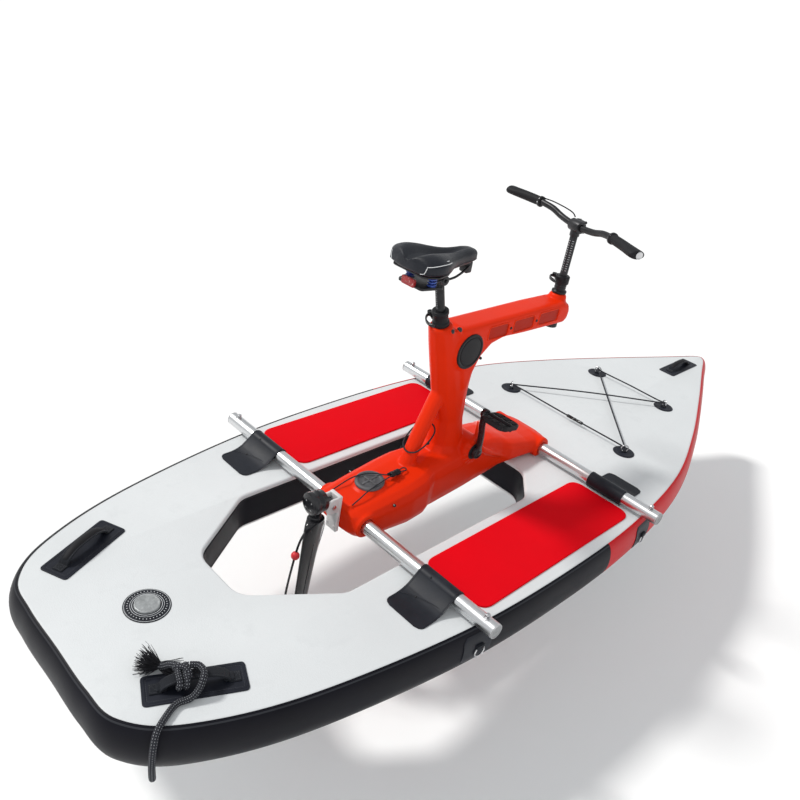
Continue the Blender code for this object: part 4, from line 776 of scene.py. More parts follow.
def baked(carrier, name):
    """The plain mesh that a carrier's modifiers make; the carrier goes."""
    bpy.context.view_layer.update()
    view = bpy.context.evaluated_depsgraph_get()
    result = bpy.data.meshes.new_from_object(carrier.evaluated_get(view))
    bpy.data.objects.remove(carrier, do_unlink=True)
    if not result.polygons:
        raise RuntimeError(f"{name}: its modifiers made nothing")
    result.name = name
    return result


def grown(name, shape, kind, values, look, body):
    """A plain mesh grown by one of the trees on a shape, as a piece of its own."""
    if kind not in TREES:
        TREES[kind] = TREE_MAKERS[kind]()
    guide = carrier_of(shape)
    step = guide.modifiers.new("grow", "NODES")
    step.node_group = TREES[kind]
    values = dict(values, Material=finish(look))
    for socket in TREES[kind].interface.items_tree:
        if socket.in_out == "INPUT" and socket.name in values:
            step[socket.identifier] = values[socket.name]
    return adopt(name, baked(guide, name), look, body)


def wire(lines):
    """Open or closed lines of points as a mesh of edges, for the trees that follow a path."""
    bm = bmesh.new()
    for points, closed in lines:
        verts = [bm.verts.new(p) for p in points]
        for a, b in zip(verts, verts[1:] + (verts[:1] if closed else [])):
            bm.edges.new((a, b))
    return bm


def dots(spots):
    """Loose points, for a tree that stands something on each of them."""
    bm = bmesh.new()
    for spot in spots:
        bm.verts.new(spot)
    return bm


# Board

def deck_outline(each=10):
    """The deck's edge all round, counter-clockwise from the transom's middle."""
    half = [(p.x, p.y) for p in smooth_path([(x, y, 0) for x, y in HALF_PLAN], each)]
    half[0], half[-1] = (half[0][0], 0.0), (half[-1][0], 0.0)
    return [(x, -y) for x, y in half] + half[-2:0:-1]


def side_point(angle, grow=0.0):
    """(reach, height) on the bulged side at an angle from its middle, in degrees."""
    t = math.radians(angle)
    way = Vector((math.cos(t) / BULGE, math.sin(t) / (T / 2))).normalized()
    return BULGE * math.cos(t) + way.x * grow, T / 2 + T / 2 * math.sin(t) + way.y * grow


def band(run, inner, outer, low, high, rows=16, corner=0.0):
    """A skin glued on the board's side between two angles, thin at borders, round at corners."""
    stations = [Vector(p) for p, _ in run]
    total = path_length(stations)
    rings, gone = [], 0.0
    for i, ((x, y), (nx, ny)) in enumerate(run):
        gone += (stations[i] - stations[i - 1]).length if i else 0.0
        near = min(gone, total - gone)
        cut = corner - math.sqrt(corner**2 - max(0.0, corner - near) ** 2)
        inset = math.degrees(cut / (T / 2))
        angles = [low + inset + (high - low - 2 * inset) * k / rows for k in range(rows + 1)]
        face = [side_point(a, outer if 0 < k < rows else (inner + outer) / 2)
                for k, a in enumerate(angles)]
        section = [side_point(a, inner) for a in angles] + face[::-1]
        rings.append([(x + nx * reach, y + ny * reach, z) for reach, z in section])
    return skin(rings)


def side_run(first, last):
    """Stations with their outward direction along the board's edge, from one index to another."""
    outline = deck_outline()
    stations = list(zip(outline, outward_of(outline)))
    return [stations[i % len(stations)] for i in range(first, last + 1)]


def seam_indices():
    """The outline's indices where the black band meets the red one, and its length."""
    outline = deck_outline()
    bow = max(range(len(outline)), key=lambda i: outline[i][0])
    seam = min(range(bow), key=lambda i: abs(outline[i][0] - SEAM_X))
    return seam, 2 * bow - seam, len(outline)


def well_outline(steps=8):
    """The well's edge, counter-clockwise."""
    return rounded(WELL_PLAN, 0.075, steps)[::-1]


def make_board():
    """The white board with its rolled edges and the open well, and the well's black lining."""
    outline = deck_outline()
    out = outward_of(outline)
    sides = [side_point(-90 + 9 * k) for k in range(21)]
    bm = skin([shifted(outline, out, reach, z) for reach, z in sides], ends=False, looped=False)
    well = well_outline()
    into = inward_of(well)
    radius, rows = bpy.context.scene.water_bike.well_edge, 7
    wall = []
    for k in range(rows + 1):
        t = math.pi / 2 * k / rows
        wall.append((radius * (1 - math.sin(t)), T - radius * (1 - math.cos(t))))
    wall += [(back, T - z) for back, z in wall[::-1]]
    levels = [shifted(well, into, -back, z) for back, z in wall]
    inside = skin(levels, ends=False, looped=False)
    for z, rim in ((T, levels[0]), (0.0, levels[-1])):
        loops = [[Vector((x, y, z)) for x, y in outline], [Vector((x, y, z)) for x, y, _ in rim]]
        verts = [bm.verts.new(p) for p in loops[0] + loops[1]]
        for tri in geometry.tessellate_polygon(loops):
            bm.faces.new([verts[i] for i in tri])
    join(bm, inside)
    bmesh.ops.remove_doubles(bm, verts=bm.verts, dist=0.00005)
    make("board", bm, "deck", "hull", ("hull_board",), crisp=50)

    low, high, rows = 0.012, T - 0.012, 12
    face, back = [], []
    for k in range(rows + 1):
        z = low + (high - low) * k / rows
        face.append(shifted(well, into, 0.0009 + 0.0016 * math.sin(math.pi * k / rows), z))
        back.append(shifted(well, into, -0.001, z))
    make("well_band", skin(face + back[::-1], ends=False), "rail", "hull",
         ("well_lining",))
    for name, z in (("upper", T - 0.016), ("lower", 0.016)):
        line = shifted(well, into, 0.0014, z)
        make(f"well_welt_{name}", sweep(line, circle(0.0011, 8), closed=True), "seam", "hull")


def make_rails():
    """The black and red bands, their welts, and the patches with hanging rings under the tubes."""
    seam, other, count = seam_indices()
    bands = {"bow": (side_run(seam, other), "bow", "rail_red"),
             "stern": (side_run(other, count + seam), "rail", "rail_black")}
    for name, (run, look, slot) in bands.items():
        make(f"rail_{name}", band(run, 0.0009, 0.0029, -76.5, 78.75), look, "hull",
             (f"rail_strip_{name}",))
        for label, angle in (("top", 63.0), ("foot", -60.0)):
            make(f"rail_welt_{name}_{label}", band(run, 0.0026, 0.0035, angle, angle + 6, 3),
                 "seam" if name == "stern" else "bow", "hull")
    outline = deck_outline(40)
    stations = list(zip(outline, outward_of(outline)))
    patches, keepers, rings, lines = [], [], [], []
    for x in (TUBE_X, -TUBE_X):
        for side, _ in SIDES:
            run = [(p, n) for p, n in stations if abs(p[0] - x) < 0.055 and p[1] * side > 0.2]
            patches.append(band(run, 0.0026, 0.005, -36, 49, 12, 0.016))
            (px, py), (nx, ny) = run[len(run) // 2]
            reach = BULGE + 0.0045
            place = at((px + nx * reach, py + ny * reach, T * 0.56), math.atan2(ny, nx), "Z")
            keeper = block((-0.002, -0.014, -0.008), (0.007, 0.014, 0.008), 0.003)
            keepers.append(moved(keeper, place))
            rings.append(moved(hoop(0.017, 0.0023), place @ Matrix.Translation((0.004, 0, -0.016))))
            lines += [([place @ Vector((0.0072, y, z)) for y in (-0.012, 0.012)], False)
                      for z in (-0.006, 0.006)]
    make("rail_patches", patches, "patch", "hull")
    make("rail_ring_keepers", keepers, "webbing", "hull")
    make("rail_rings", rings, "steel", "hull")
    grown("rail_keeper_stitches", wire(lines), "stitches",
          {"Pitch": 0.0035, "Up": (0, 1, 0), "Size": (0.0026, 0.0009, 0.0009)}, "thread", "hull")


def make_pads():
    """The red foam pads on both sides of the well, with rolled rims."""
    (a, b), (c, d) = PAD_X, PAD_Y
    for side, name in SIDES:
        corners = ((a, side * c), (b, side * c), (b, side * d), (a, side * d))[::side]
        pad = pillow(rounded(corners, 0.045, 10), T + GAP, T + GAP + 0.0052, 0.0022)
        obj = make(f"foot_pad_{name}_foam", pad, "pad", "hull", (f"foot_pad_{name}",))


def sheet_strip(path, thick, half, corner):
    """A sheet of even thickness along a path of (x, z) points, its first end round-cornered."""
    points = [Vector(p) for p in path]
    rings, gone = [], 0.0
    for i, here in enumerate(points):
        along = (points[min(i + 1, len(points) - 1)] - points[max(i - 1, 0)]).normalized()
        gone += (here - points[i - 1]).length if i else 0.0
        width = half
        if gone < corner:
            width = half - corner + math.sqrt(max(0.0, corner**2 - (corner - gone) ** 2))
        under = here + Vector((-along.y, along.x)) * thick
        over = [(here.x, width * t, here.y) for t in (-1, -0.97, -0.5, 0, 0.5, 0.97, 1)]
        below = [(under.x, width * t, under.y) for t in (1, 0.5, 0, -0.5, -1)]
        rings.append(over + below)
    return skin(rings)


def sleeve_path():
    """The outer line of a sleeve: from its flap's tip on the deck, over the tube and back under."""
    flap = smooth_path(mm(
        (145, 2.6, 0), (122, 2.8, 0), (98, 3.4, 0), (76, 7.4, 0), (57, 15.2, 0)), 5)
    wrap = arc((0, TUBE_Z - T - GAP), TUBE_R + GAP + 0.0028, 30, 222, 26)
    return [(p.x, p.y) for p in flap] + wrap + [(-0.0165, 0.0052), (-0.012, 0.0024)]


def make_sleeves():
    """The black sheets that wrap the cross tubes, with their flaps, welded hems and studs."""
    middle = (SLEEVE_Y[0] + SLEEVE_Y[1]) / 2
    half = (SLEEVE_Y[1] - SLEEVE_Y[0]) / 2
    fold = smooth_path([(0.052, -half * 0.9, 0.0172), (0.06, -half * 0.2, 0.0145),
                        (0.074, half * 0.5, 0.0082), (0.09, half * 0.92, 0.0052)], 6)
    stud = mm((0, 0), (3.4, 0), (3.4, 0.9), (2.2, 1.9), (0, 2.1))
    spots = ((0.0155, half * 0.35, 0.0495, 38), (0.07, half * 0.3, 0.0098, 20))
    for end, along in (("front", 1), ("rear", -1)):
        for side, name in SIDES:
            place = Matrix.Translation((along * TUBE_X, side * middle, T + GAP)) \
                @ Matrix.Diagonal((along, 1, 1, 1))
            shapes = [sheet_strip(sleeve_path(), 0.0021, half, 0.022)]
            for t in (1, -1):
                line = [(x, half * 0.93 * t, z + 0.0001) for x, z in sleeve_path()[2:-6]]
                shapes.append(sweep(line, circle(0.0007, 6, 2.6)))
            shapes.append(sweep(fold, circle(0.0008, 6, 2.2)))
            make(f"sleeve_{end}_{name}_sheet", shapes, "sheet", "hull",
                 (f"sleeve_{end}_{name}",), place=place)
            studs = [moved(turned(stud, 20), place @ at((x, y, z), math.radians(turn)))
                     for x, y, z, turn in spots]
            make(f"sleeve_{end}_{name}_studs", studs, "plastic", "hull")


def make_tubes():
    """The two aluminium cross tubes with their end caps and lock pins."""
    bore = TUBE_R - 0.002
    profile = [(bore, -TUBE_HALF), (TUBE_R - 0.0006, -TUBE_HALF), (TUBE_R, -TUBE_HALF + 0.0006)]
    profile += [(r, -h) for r, h in profile[::-1]]
    lip = TUBE_HALF + GAP
    plug = ((0, lip - 0.02), (bore - 0.0004, lip - 0.02), (bore - 0.0004, lip),
            (TUBE_R - 0.0003, lip), (TUBE_R - 0.0003, lip + 0.0028), (TUBE_R - 0.0014, lip + 0.004),
            (0.0185, lip + 0.004), (0.0178, lip + 0.0027), (0.004, lip + 0.0027),
            (0.0032, lip + 0.0015), (0, lip + 0.0015))
    peg = mm(
        (0, 16), (4, 16), (4, 23.2), (7.5, 23.2), (7.8, 24.5), (4.2, 25.2), (4, 28.8), (6.8, 29.6),
        (6.8, 32.5), (5.2, 34), (0, 34.4))
    for end, along in (("front", 1), ("rear", -1)):
        centre = (along * TUBE_X, 0, TUBE_Z)
        make(f"tube_{end}", turned(profile, 72, "Y", centre), "tube", "hull",
             (f"cross_tube_{end}",))
        for side, name in SIDES:
            cap = turned([(r, side * h) for r, h in plug], 56, "Y", centre)
            make(f"tube_cap_{end}_{name}", cap, "plug", "hull",
                 (f"tube_plug_{end}_{name}",))
            hole = Vector((along * TUBE_X, side * (TUBE_HALF - 0.034), TUBE_Z))
            hang = at(hole + Vector((0, 0, 0.0275)), math.radians(64))
            ring = moved(hoop(0.0085, 0.0008, 28), hang @ Matrix.Translation((0, 0, -0.0068)))
            make(f"lock_pin_{end}_{name}", [turned(peg, 28, "Z", hole), ring], "steel", "hull")


# Deck fittings

def strap_section(width, thick):
    """The section of a strap with soft edges."""
    return plate_outline(width, thick, thick * 0.45, 3)


def handle(name, place, size, grip, padded):
    """A grab handle: a welded patch with a raised border, a strap over it, and its stitches."""
    length, wide = size
    span, rise = grip
    patch = pillow(plate_outline(length, wide, 0.012, 8), 0.0, 0.003, 0.0012)
    rim = [(x, y, 0.003) for x, y in plate_outline(length - 0.014, wide - 0.014, 0.008, 6)]
    border = sweep(rim, circle(0.0009, 8, 1.8), closed=True)
    make(f"{name}_patch", [patch, border], "patch", "hull", (name,), place=place)
    arch = [(-span, 0, 0.004), (-span * 0.86, 0, rise * 0.55), (-span * 0.5, 0, rise * 0.92)]
    arch += [(0, 0, rise)] + [(-x, y, z) for x, y, z in arch[::-1]]
    path = smooth_path(arch, 10)
    shapes = [sweep(path, strap_section(0.03, 0.0052))]
    for end in (1, -1):
        root = end * (span - 0.004)
        low, high = sorted((root, end * (span + 0.024)))
        shapes.append(block((low, -0.015, 0.0026), (high, 0.015, 0.0062), 0.0016))
        if not padded:
            shapes.append(block((root - 0.012, -0.0125, 0.004), (root + 0.012, 0.0125, 0.0115),
                                0.0038))
    make(f"{name}_strap", shapes, "webbing", "hull", place=place)
    if padded:
        middle = path[8:-8]
        sizes = [0.62 + 0.38 * math.sin(math.pi * i / (len(middle) - 1)) ** 0.6
                 for i in range(len(middle))]
        core = sweep(middle, [(a, b - 0.0015) for a, b in circle(0.0086, 24, 1.5)], sizes=sizes)
        make(f"{name}_grip", core, "rubber", "hull", place=place)
    border = plate_outline(length - 0.022, wide - 0.022, 0.006, 4)
    lines = [([(x, y, 0.0032) for x, y in border], True)]
    for end in (1, -1):
        near, far = end * (span + 0.002), end * (span + 0.021)
        box = [(x, y, 0.0063)
               for x, y in ((near, -0.011), (far, -0.011), (far, 0.011), (near, 0.011))]
        lines += [(box, True), (box[0:3:2], False)]
    lines += [([p + Vector((0, y, 0.0028)) for p in path[6:-6]], False) for y in (-0.0118, 0.0118)]
    lines = [([place @ Vector(p) for p in line], closed) for line, closed in lines]
    pitch = bpy.context.scene.water_bike.stitch_pitch
    grown(f"{name}_stitches", wire(lines), "stitches",
          {"Pitch": pitch, "Size": (pitch * 0.72, 0.001, 0.0008)}, "thread", "hull")


def make_handles():
    """The grab handles at the stern and the bow."""
    handle("handle_stern_port", STERN_FRAMES["port"], (0.24, 0.086), (0.08, 0.034), True)
    handle("handle_stern_starboard", STERN_FRAMES["starboard"], (0.24, 0.086), (0.08, 0.034), False)
    handle("handle_bow", Matrix.Translation((BOW_HANDLE_X, 0, T + GAP)), (0.25, 0.08),
           (0.075, 0.03), True)


def make_valve():
    """The inflation valve: its glued collar with pale rings and ticks, and the ribbed cap."""
    place = Vector((VALVE_X, 0, T + GAP))
    collar = turned(mm(
        (33.5, 0), (59.2, 0), (60, 0.5), (59.2, 1.2), (52, 2.2), (40, 3), (38, 4), (34.5, 4),
        (33.5, 3.2)),
                    96, "Z", place)
    make("valve_ring", collar, "sheet", "hull", ("valve_collar",))
    lines = [turned(((r, z), (r + w, z), (r + w, z + 0.0005), (r, z + 0.0005)), 96, "Z", place)
             for r, w, z in ((0.0365, 0.0012, 0.0038), (0.0415, 0.0009, 0.0029),
                             (0.056, 0.001, 0.0013))]
    make("valve_ring_lines", lines, "print", "hull")
    radius = 0.0488
    pitch = 2 * math.pi * radius / bpy.context.scene.water_bike.valve_ticks
    mid = [(place.x + x, y, place.z + 0.0027) for x, y in circle(radius, 180)]
    grown("valve_ring_ticks", wire([(mid, True)]), "ticks",
          {"Pitch": pitch, "Size": (pitch * 0.22, 0.0028, 0.0003)}, "print", "hull")
    bm = turned(mm(
        (0, 0), (33, 0), (33, 7), (32.2, 8.6), (30.2, 9.6), (28.8, 9), (26.5, 8.6), (22, 9),
        (17, 9.3), (12, 9.2), (6, 9.4), (0, 9.5)), 72, "Z", place)
    rng = random.Random(5)
    offset = Vector((rng.random(), rng.random(), rng.random()))
    for v in bm.verts:
        reach, rise = (v.co - place).xy.length, v.co.z - place.z
        if reach < 0.028 and rise > 0.006:  # the foil's crumples
            v.co.z += 0.0014 * noise.noise((v.co + offset) * 120) + 0.0008 * noise.noise(v.co * 320)
        if 0.031 < reach and 0.001 < rise < 0.008:  # the grip ribs round the rim
            turn = math.atan2(v.co.y - place.y, v.co.x - place.x)
            push = 0.0004 * math.copysign(1, math.sin(turn * 36))
            v.co.x, v.co.y = v.co.x - push * math.cos(turn), v.co.y - push * math.sin(turn)
    make("valve_lid", bm, "cap", "valve_cap", ("valve_cap",), crisp=60)


def bungee_places():
    """The four patches in the order that the cord takes: a bow tie."""
    (ax, ay), (bx, by) = (0.757, 0.285), (1.269, 0.175)
    return {"aft_port": Vector((ax, ay, 0)), "fore_starboard": Vector((bx, -by, 0)),
            "fore_port": Vector((bx, by, 0)), "aft_starboard": Vector((ax, -ay, 0))}


def make_bungee():
    """The four ring patches on the fore deck and the elastic cord through them."""
    corners = bungee_places()
    middle = sum(corners.values(), Vector()) / 4
    for name, place in corners.items():
        inward = (middle - place).normalized()
        stand = at((place.x, place.y, T + GAP), math.atan2(inward.y, inward.x), "Z")
        patch = turned(mm(
            (0, 0), (41.4, 0), (42, 0.6), (41.2, 1.4), (37.5, 1.6), (36.2, 2.8), (35, 3.2),
            (33.8, 2.8), (32, 2.6), (0, 3)), 72)
        make(f"ring_patch_{name}", patch, "patch", "hull",
             (f"bungee_patch_{name}",), place=stand)
        keeper = block((-0.009, -0.0105, 0.001), (0.009, 0.0105, 0.0068), 0.0022)
        make(f"ring_keeper_{name}", keeper, "webbing", "hull", place=stand)
        make(f"ring_{name}", hoop(0.014, 0.0023, 48), "steel", "hull",
             place=stand @ Matrix.Translation((0, 0, 0.017)))
        line = [stand @ Vector((x, y, 0.003)) for x, y in circle(0.03, 48)]
        grown(f"ring_stitches_{name}", wire([(line, True)]), "stitches",
              {"Pitch": 0.0055, "Size": (0.0038, 0.0009, 0.0007)}, "thread", "hull")
    order, route = list(corners.values()), []
    rises = (0.0055, 0, -0.0025, 0)  # where the cord crosses itself, one run lies over the other
    for i, place in enumerate(order):
        following = order[(i + 1) % 4]
        inward = (middle - place).normalized()
        before, after = (order[i - 1] - place).normalized(), (following - place).normalized()
        mid = (place + following) / 2
        route += [place + before * 0.03 + inward * 0.004, place - inward * 0.008,
                  place + after * 0.03 + inward * 0.004, Vector((mid.x, mid.y, rises[i]))]
    height = Vector((0, 0, T + 0.02))
    path = smooth_path([p + height for p in route], 12, closed=True)
    make("elastic_cord", sweep(path, circle(0.003, 12), closed=True), "cord", "hull",
         ("bungee_cord",))
    along = (order[0] - order[3]).normalized()
    spot = order[3].lerp(order[0], 0.42) + height
    half = [(-0.038, 0.72), (-0.036, 1.0), (-0.012, 1.0), (-0.01, 0.86), (-0.006, 0.86),
            (-0.004, 1.0)]
    grooves = half + [(-t, size) for t, size in half[::-1]]
    sleeve = sweep([spot + along * t for t, _ in grooves], circle(0.0064, 24),
                   sizes=[size for _, size in grooves])
    make("cord_joint_sleeve", sleeve, "gloss", "hull")


# Moulded frame

def cad_copy(name):
    """A CAD node's mesh as a bmesh in the row frame, its loose triangles joined up."""
    source = next(o for o in bpy.data.objects if o.get("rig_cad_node") == name)
    bm = bmesh.new()
    bm.from_mesh(source.data)
    bm.transform(source.matrix_world)
    bmesh.ops.remove_doubles(bm, verts=bm.verts, dist=0.00002)
    return bm


def make_shell():
    """The moulded shell with softened edges, hub ribs, swooping ridges and side ribs."""
    s = bpy.context.scene.water_bike
    shapes = [cad_copy("frame_body")]
    for side, _ in SIDES:
        hub = Vector((0.043, side * 0.0865, T + 0.135))
        for x, z in circle(1.0, 14):
            way = Vector((x, 0, z))
            path = [hub + way * reach for reach in (0.026, 0.03575, 0.0455)]
            shapes.append(sweep(path, circle(0.0034, 8)))
        swoosh = mm(
            (80, 50, 225), (62, 72, 175), (86, 88, 130), (150, 86, 90), (215, 84, 58),
            (250, 88, 40))
        line = smooth_path([(x, side * y, T + z) for x, y, z in swoosh], 6)
        sizes = [0.35 + 0.65 * math.sin(math.pi * i / (len(line) - 1)) for i in range(len(line))]
        shapes.append(sweep(line, circle(0.0105, 12), sizes=sizes))
        for start, end, y, z in ((-0.4, -0.2, 0.094, 0.06), (0.275, 0.43, 0.086, 0.058)):
            rib = [(x, side * y, T + z) for x in (start, (start + end) / 2, end)]
            shapes.append(sweep(rib, circle(0.0085, 10), sizes=[0.6, 1.0, 0.6]))
    rough = carrier_of(merged(shapes))
    blend = rough.modifiers.new("blend", "REMESH")
    blend.mode, blend.voxel_size, blend.use_smooth_shade = "VOXEL", s.shell_voxel, True
    soften = rough.modifiers.new("soften", "SMOOTH")
    soften.factor, soften.iterations = 0.5, s.shell_smoothing
    adopt("frame_shell", baked(rough, "frame_shell"), "moulded", "hull",
          ("frame_body",), crisp=70)


def make_shell_details():
    """The arm's inset panels with their rims, and the screws."""
    panels, rims = [], []
    for low, high in ((0.03, 0.125), (0.155, 0.262), (0.292, 0.402)):
        middle, length = (low + high) / 2, high - low
        outline = plate_outline(length - 0.001, 0.041, 0.007, 6)
        lip = [(x, y, 0.0016) for x, y in plate_outline(length + 0.003, 0.045, 0.009, 6)]
        for side, _ in SIDES:
            turn = at((middle, side * (ARM_HALF - 0.0022), INSET_Z), -side * math.pi / 2, "X")
            panels.append(moved(pillow(outline, -0.004, 0.0004, 0.0008), turn))
            rims.append(moved(sweep(lip, circle(0.002, 8), closed=True), turn))
    make("arm_insets", panels, "inset", "hull")
    make("arm_inset_rims", rims, "moulded", "hull")

    small = mm((0, -4), (4.8, -4), (4.8, 0.8), (3.6, 2.2), (2.2, 2.4), (1.8, 1.2), (0, 1.2))
    large = mm((0, -4), (8.2, -4), (8.2, 2.2), (6, 5.8), (3, 6.8), (2.6, 5), (0, 5))
    places = mm((140, 50.5, 553), (277, 50.5, 553), (20, 46, 470), (-330, 105, 70), (330, 98, 52))
    screws = [moved(turned(small, 20), at((x, side * y, T + z), -side * math.pi / 2, "X"))
              for side, _ in SIDES for x, y, z in places]
    screws += [turned(large, 24, "Z", (x, y, ARM_TOP))
               for x, y in ((-0.108, -0.038), (-0.14, -0.036))]
    make("frame_screws", screws, "gloss", "hull")


def make_covers():
    """The column's two round covers and the ribbed inspection hatch."""
    face = ARM_HALF + 0.002 + GAP
    profile = ((0, face), (DISC_R, face), (DISC_R, face + 0.0024), (DISC_R - 0.0012, face + 0.004),
               (DISC_R - 0.004, face + 0.0046), (DISC_R - 0.0085, face + 0.004),
               (DISC_R - 0.01, face + 0.0026), (DISC_R - 0.0125, face + 0.0026),
               (DISC_R - 0.014, face + 0.0042), (0.03, face + 0.005), (0, face + 0.0054))
    for side, name in SIDES:
        disc = turned([(r, side * h) for r, h in profile], 80, "Y", (DISC[0], 0, DISC[1]))
        make(f"disc_{name}", disc, "plastic", "hull", (f"column_disc_{name}",))
    lid = turned(((0, 0), (HATCH_R, 0), (HATCH_R, 0.0046), (HATCH_R - 0.0014, 0.0072),
                  (HATCH_R - 0.0045, 0.0088), (HATCH_R - 0.0095, 0.0088),
                  (HATCH_R - 0.0115, 0.0072),
                  (HATCH_R - 0.0135, 0.0062), (0.02, 0.0066), (0.018, 0.0074), (0.015, 0.0074),
                  (0.013, 0.0064), (0, 0.0066)), 80)
    shapes = [moved(lid, HATCH_FRAME)]
    for turn in (0, math.pi / 2):
        grip = block((-0.0035, -0.03, 0.0055), (0.0035, 0.03, 0.0088), 0.0014)
        shapes.append(moved(grip, HATCH_FRAME @ Matrix.Rotation(turn, 4, "Z")))
    make("hatch_lid", shapes, "grey", "hatch", ("hatch_cover",))
    studs = [HATCH_FRAME @ Vector((x, y, 0.0088)) for x, y in circle(0.0405, 24)]
    normal = HATCH_FRAME.to_3x3() @ Vector((0, 0, 1))
    grown("hatch_grip_ribs", dots(studs), "blocks",
          {"Size": (0.002, 0.002, 0.0014), "Facing": tuple(normal), "Along": (1, 0, 0)}, "grey",
          "hatch")


# Seat

def lever(hug, place, name, body, node_name):
    """A cam lever that hugs its collar, with its hub, bolt and flared tip."""
    turns = [math.radians(-16 * k / 3) for k in range(22)]
    path = [(hug * math.sin(a), hug * (math.cos(a) - 1), 0.007) for a in turns]
    sizes = [0.75 + 0.25 * min(1, k / 6) - 0.1 * math.sin(math.pi * k / 21) for k in range(22)]
    blade = sweep(path, strap_section(0.006, 0.012), sizes=sizes)
    hub = turned(eased(mm(
        (0, 0), (8.8, 0), (8.8, 14), (5.2, 14), (4.5, 12.5), (0, 12.5)), 0.0012), 32)
    make(name, [blade, hub], "gloss", body, (node_name,), place=place)


# The saddle's sections from tail to nose: x, half width, low and high
SADDLE_STATIONS = mm(
    (-146, 40, 6, 34), (-134, 76, 0, 44), (-100, 92, 0, 51), (-62, 86, 0, 48), (-24, 64, 0, 42),
    (16, 46, -2, 37), (56, 35, -4, 36), (94, 30, -4, 36), (120, 23, -2, 32), (129, 12, 4, 24)
)
SADDLE_RISE = 0.044
LOBE = 0.007


def saddle_at(share):
    """The saddle's section sizes at a share of its length: (x, half width, low, high)."""
    spans = len(SADDLE_STATIONS) - 1
    mark = min(max(share, 0.0), 1.0) * spans
    i = min(int(mark), spans - 1)
    near = (Vector(SADDLE_STATIONS[min(max(i + k, 0), spans)]) for k in (-1, 0, 1, 2))
    return curve_at(*near, mark - i)


def saddle_point(share, turn, proud=0.0):
    """A point of the padded saddle at a share of its length and a turn round its section."""
    x, half, low, high = saddle_at(share)
    c, s = math.cos(turn), math.sin(turn)
    waist = low + (high - low) * 0.45
    t = math.copysign(abs(c) ** 0.72, c)
    if s >= 0:
        rise = (high - waist) * s ** 0.62
        lobes = LOBE * math.exp(-(((abs(t) - 0.52) / 0.3) ** 2)) * (1 - min(1, share * 1.6))
        depth = bpy.context.scene.water_bike.saddle_channel
        channel = depth * math.sin(math.pi * min(1.0, 0.1 + share * 1.15)) ** 1.5
        z = waist + rise + lobes - channel * math.exp(-((t / 0.26) ** 2)) * min(1, s * 1.6)
    else:
        z = waist - (waist - low) * (-s) ** 0.5
    return Vector((x, (half + proud) * t, SADDLE_RISE + max(z, low) + (proud if s >= 0 else 0)))


def make_saddle():
    """The padded saddle with its channel, piping and edge welt."""
    count = 72
    rings = [[saddle_point(i / 60, 2 * math.pi * k / count) for k in range(count)]
             for i in range(61)]
    domes = []
    for end, way in ((rings[0], -1), (rings[-1], 1)):
        centre = sum(end, Vector()) / count
        domes.append([[centre + (p - centre) * size + Vector((way * out, 0, 0)) for p in end]
                      for size, out in ((0.9, 0.0012), (0.66, 0.0024), (0.3, 0.003))])
    rings = domes[0][::-1] + rings + domes[1]
    pad = make("saddle_pad", skin(rings), "vinyl", "saddle", ("saddle_cushion",),
               crisp=80, place=SADDLE_FRAME)
    welt = [saddle_point(i / 80, -0.22, 0.0002) for i in range(4, 79)]
    other = [Vector((p.x, -p.y, p.z)) for p in welt[::-1]]
    seam = sweep([SADDLE_FRAME @ p for p in welt + other], circle(0.0011, 8))
    make("saddle_welt", seam, "vinyl", "saddle")
    strips, lines = [], []
    for side, _ in SIDES:
        run = [saddle_point(0.36 - 0.27 * k / 16, 0.4 - 0.1 * k / 16, 0.0006) for k in range(17)]
        run += [saddle_point(0.09 - 0.035 * k / 6, 0.3 - 0.9 * k / 6, 0.0008) for k in range(1, 7)]
        run = [SADDLE_FRAME @ Vector((p.x, side * p.y, p.z)) for p in run]
        dash = [SADDLE_FRAME @ saddle_point(0.3 + 0.03 * k / 4, math.pi / 2 - side * 0.95, 0.0004)
                for k in range(5)]
        strips += [sweep(run, circle(0.00105, 8)), sweep(dash, circle(0.0009, 8, 1.6))]
        line = [saddle_point(0.06 + 0.8 * t, math.pi / 2 - side * (0.42 - 0.1 * t), 0.0002)
                for t in (k / 50 for k in range(51))]
        lines.append(([SADDLE_FRAME @ p for p in line], False))
    make("saddle_piping", strips, "piping", "saddle")
    pitch = bpy.context.scene.water_bike.stitch_pitch
    grown("saddle_stitches", wire(lines), "stitches",
          {"Pitch": pitch * 0.8, "Size": (pitch * 0.55, 0.0008, 0.0006)}, "thread", "saddle")


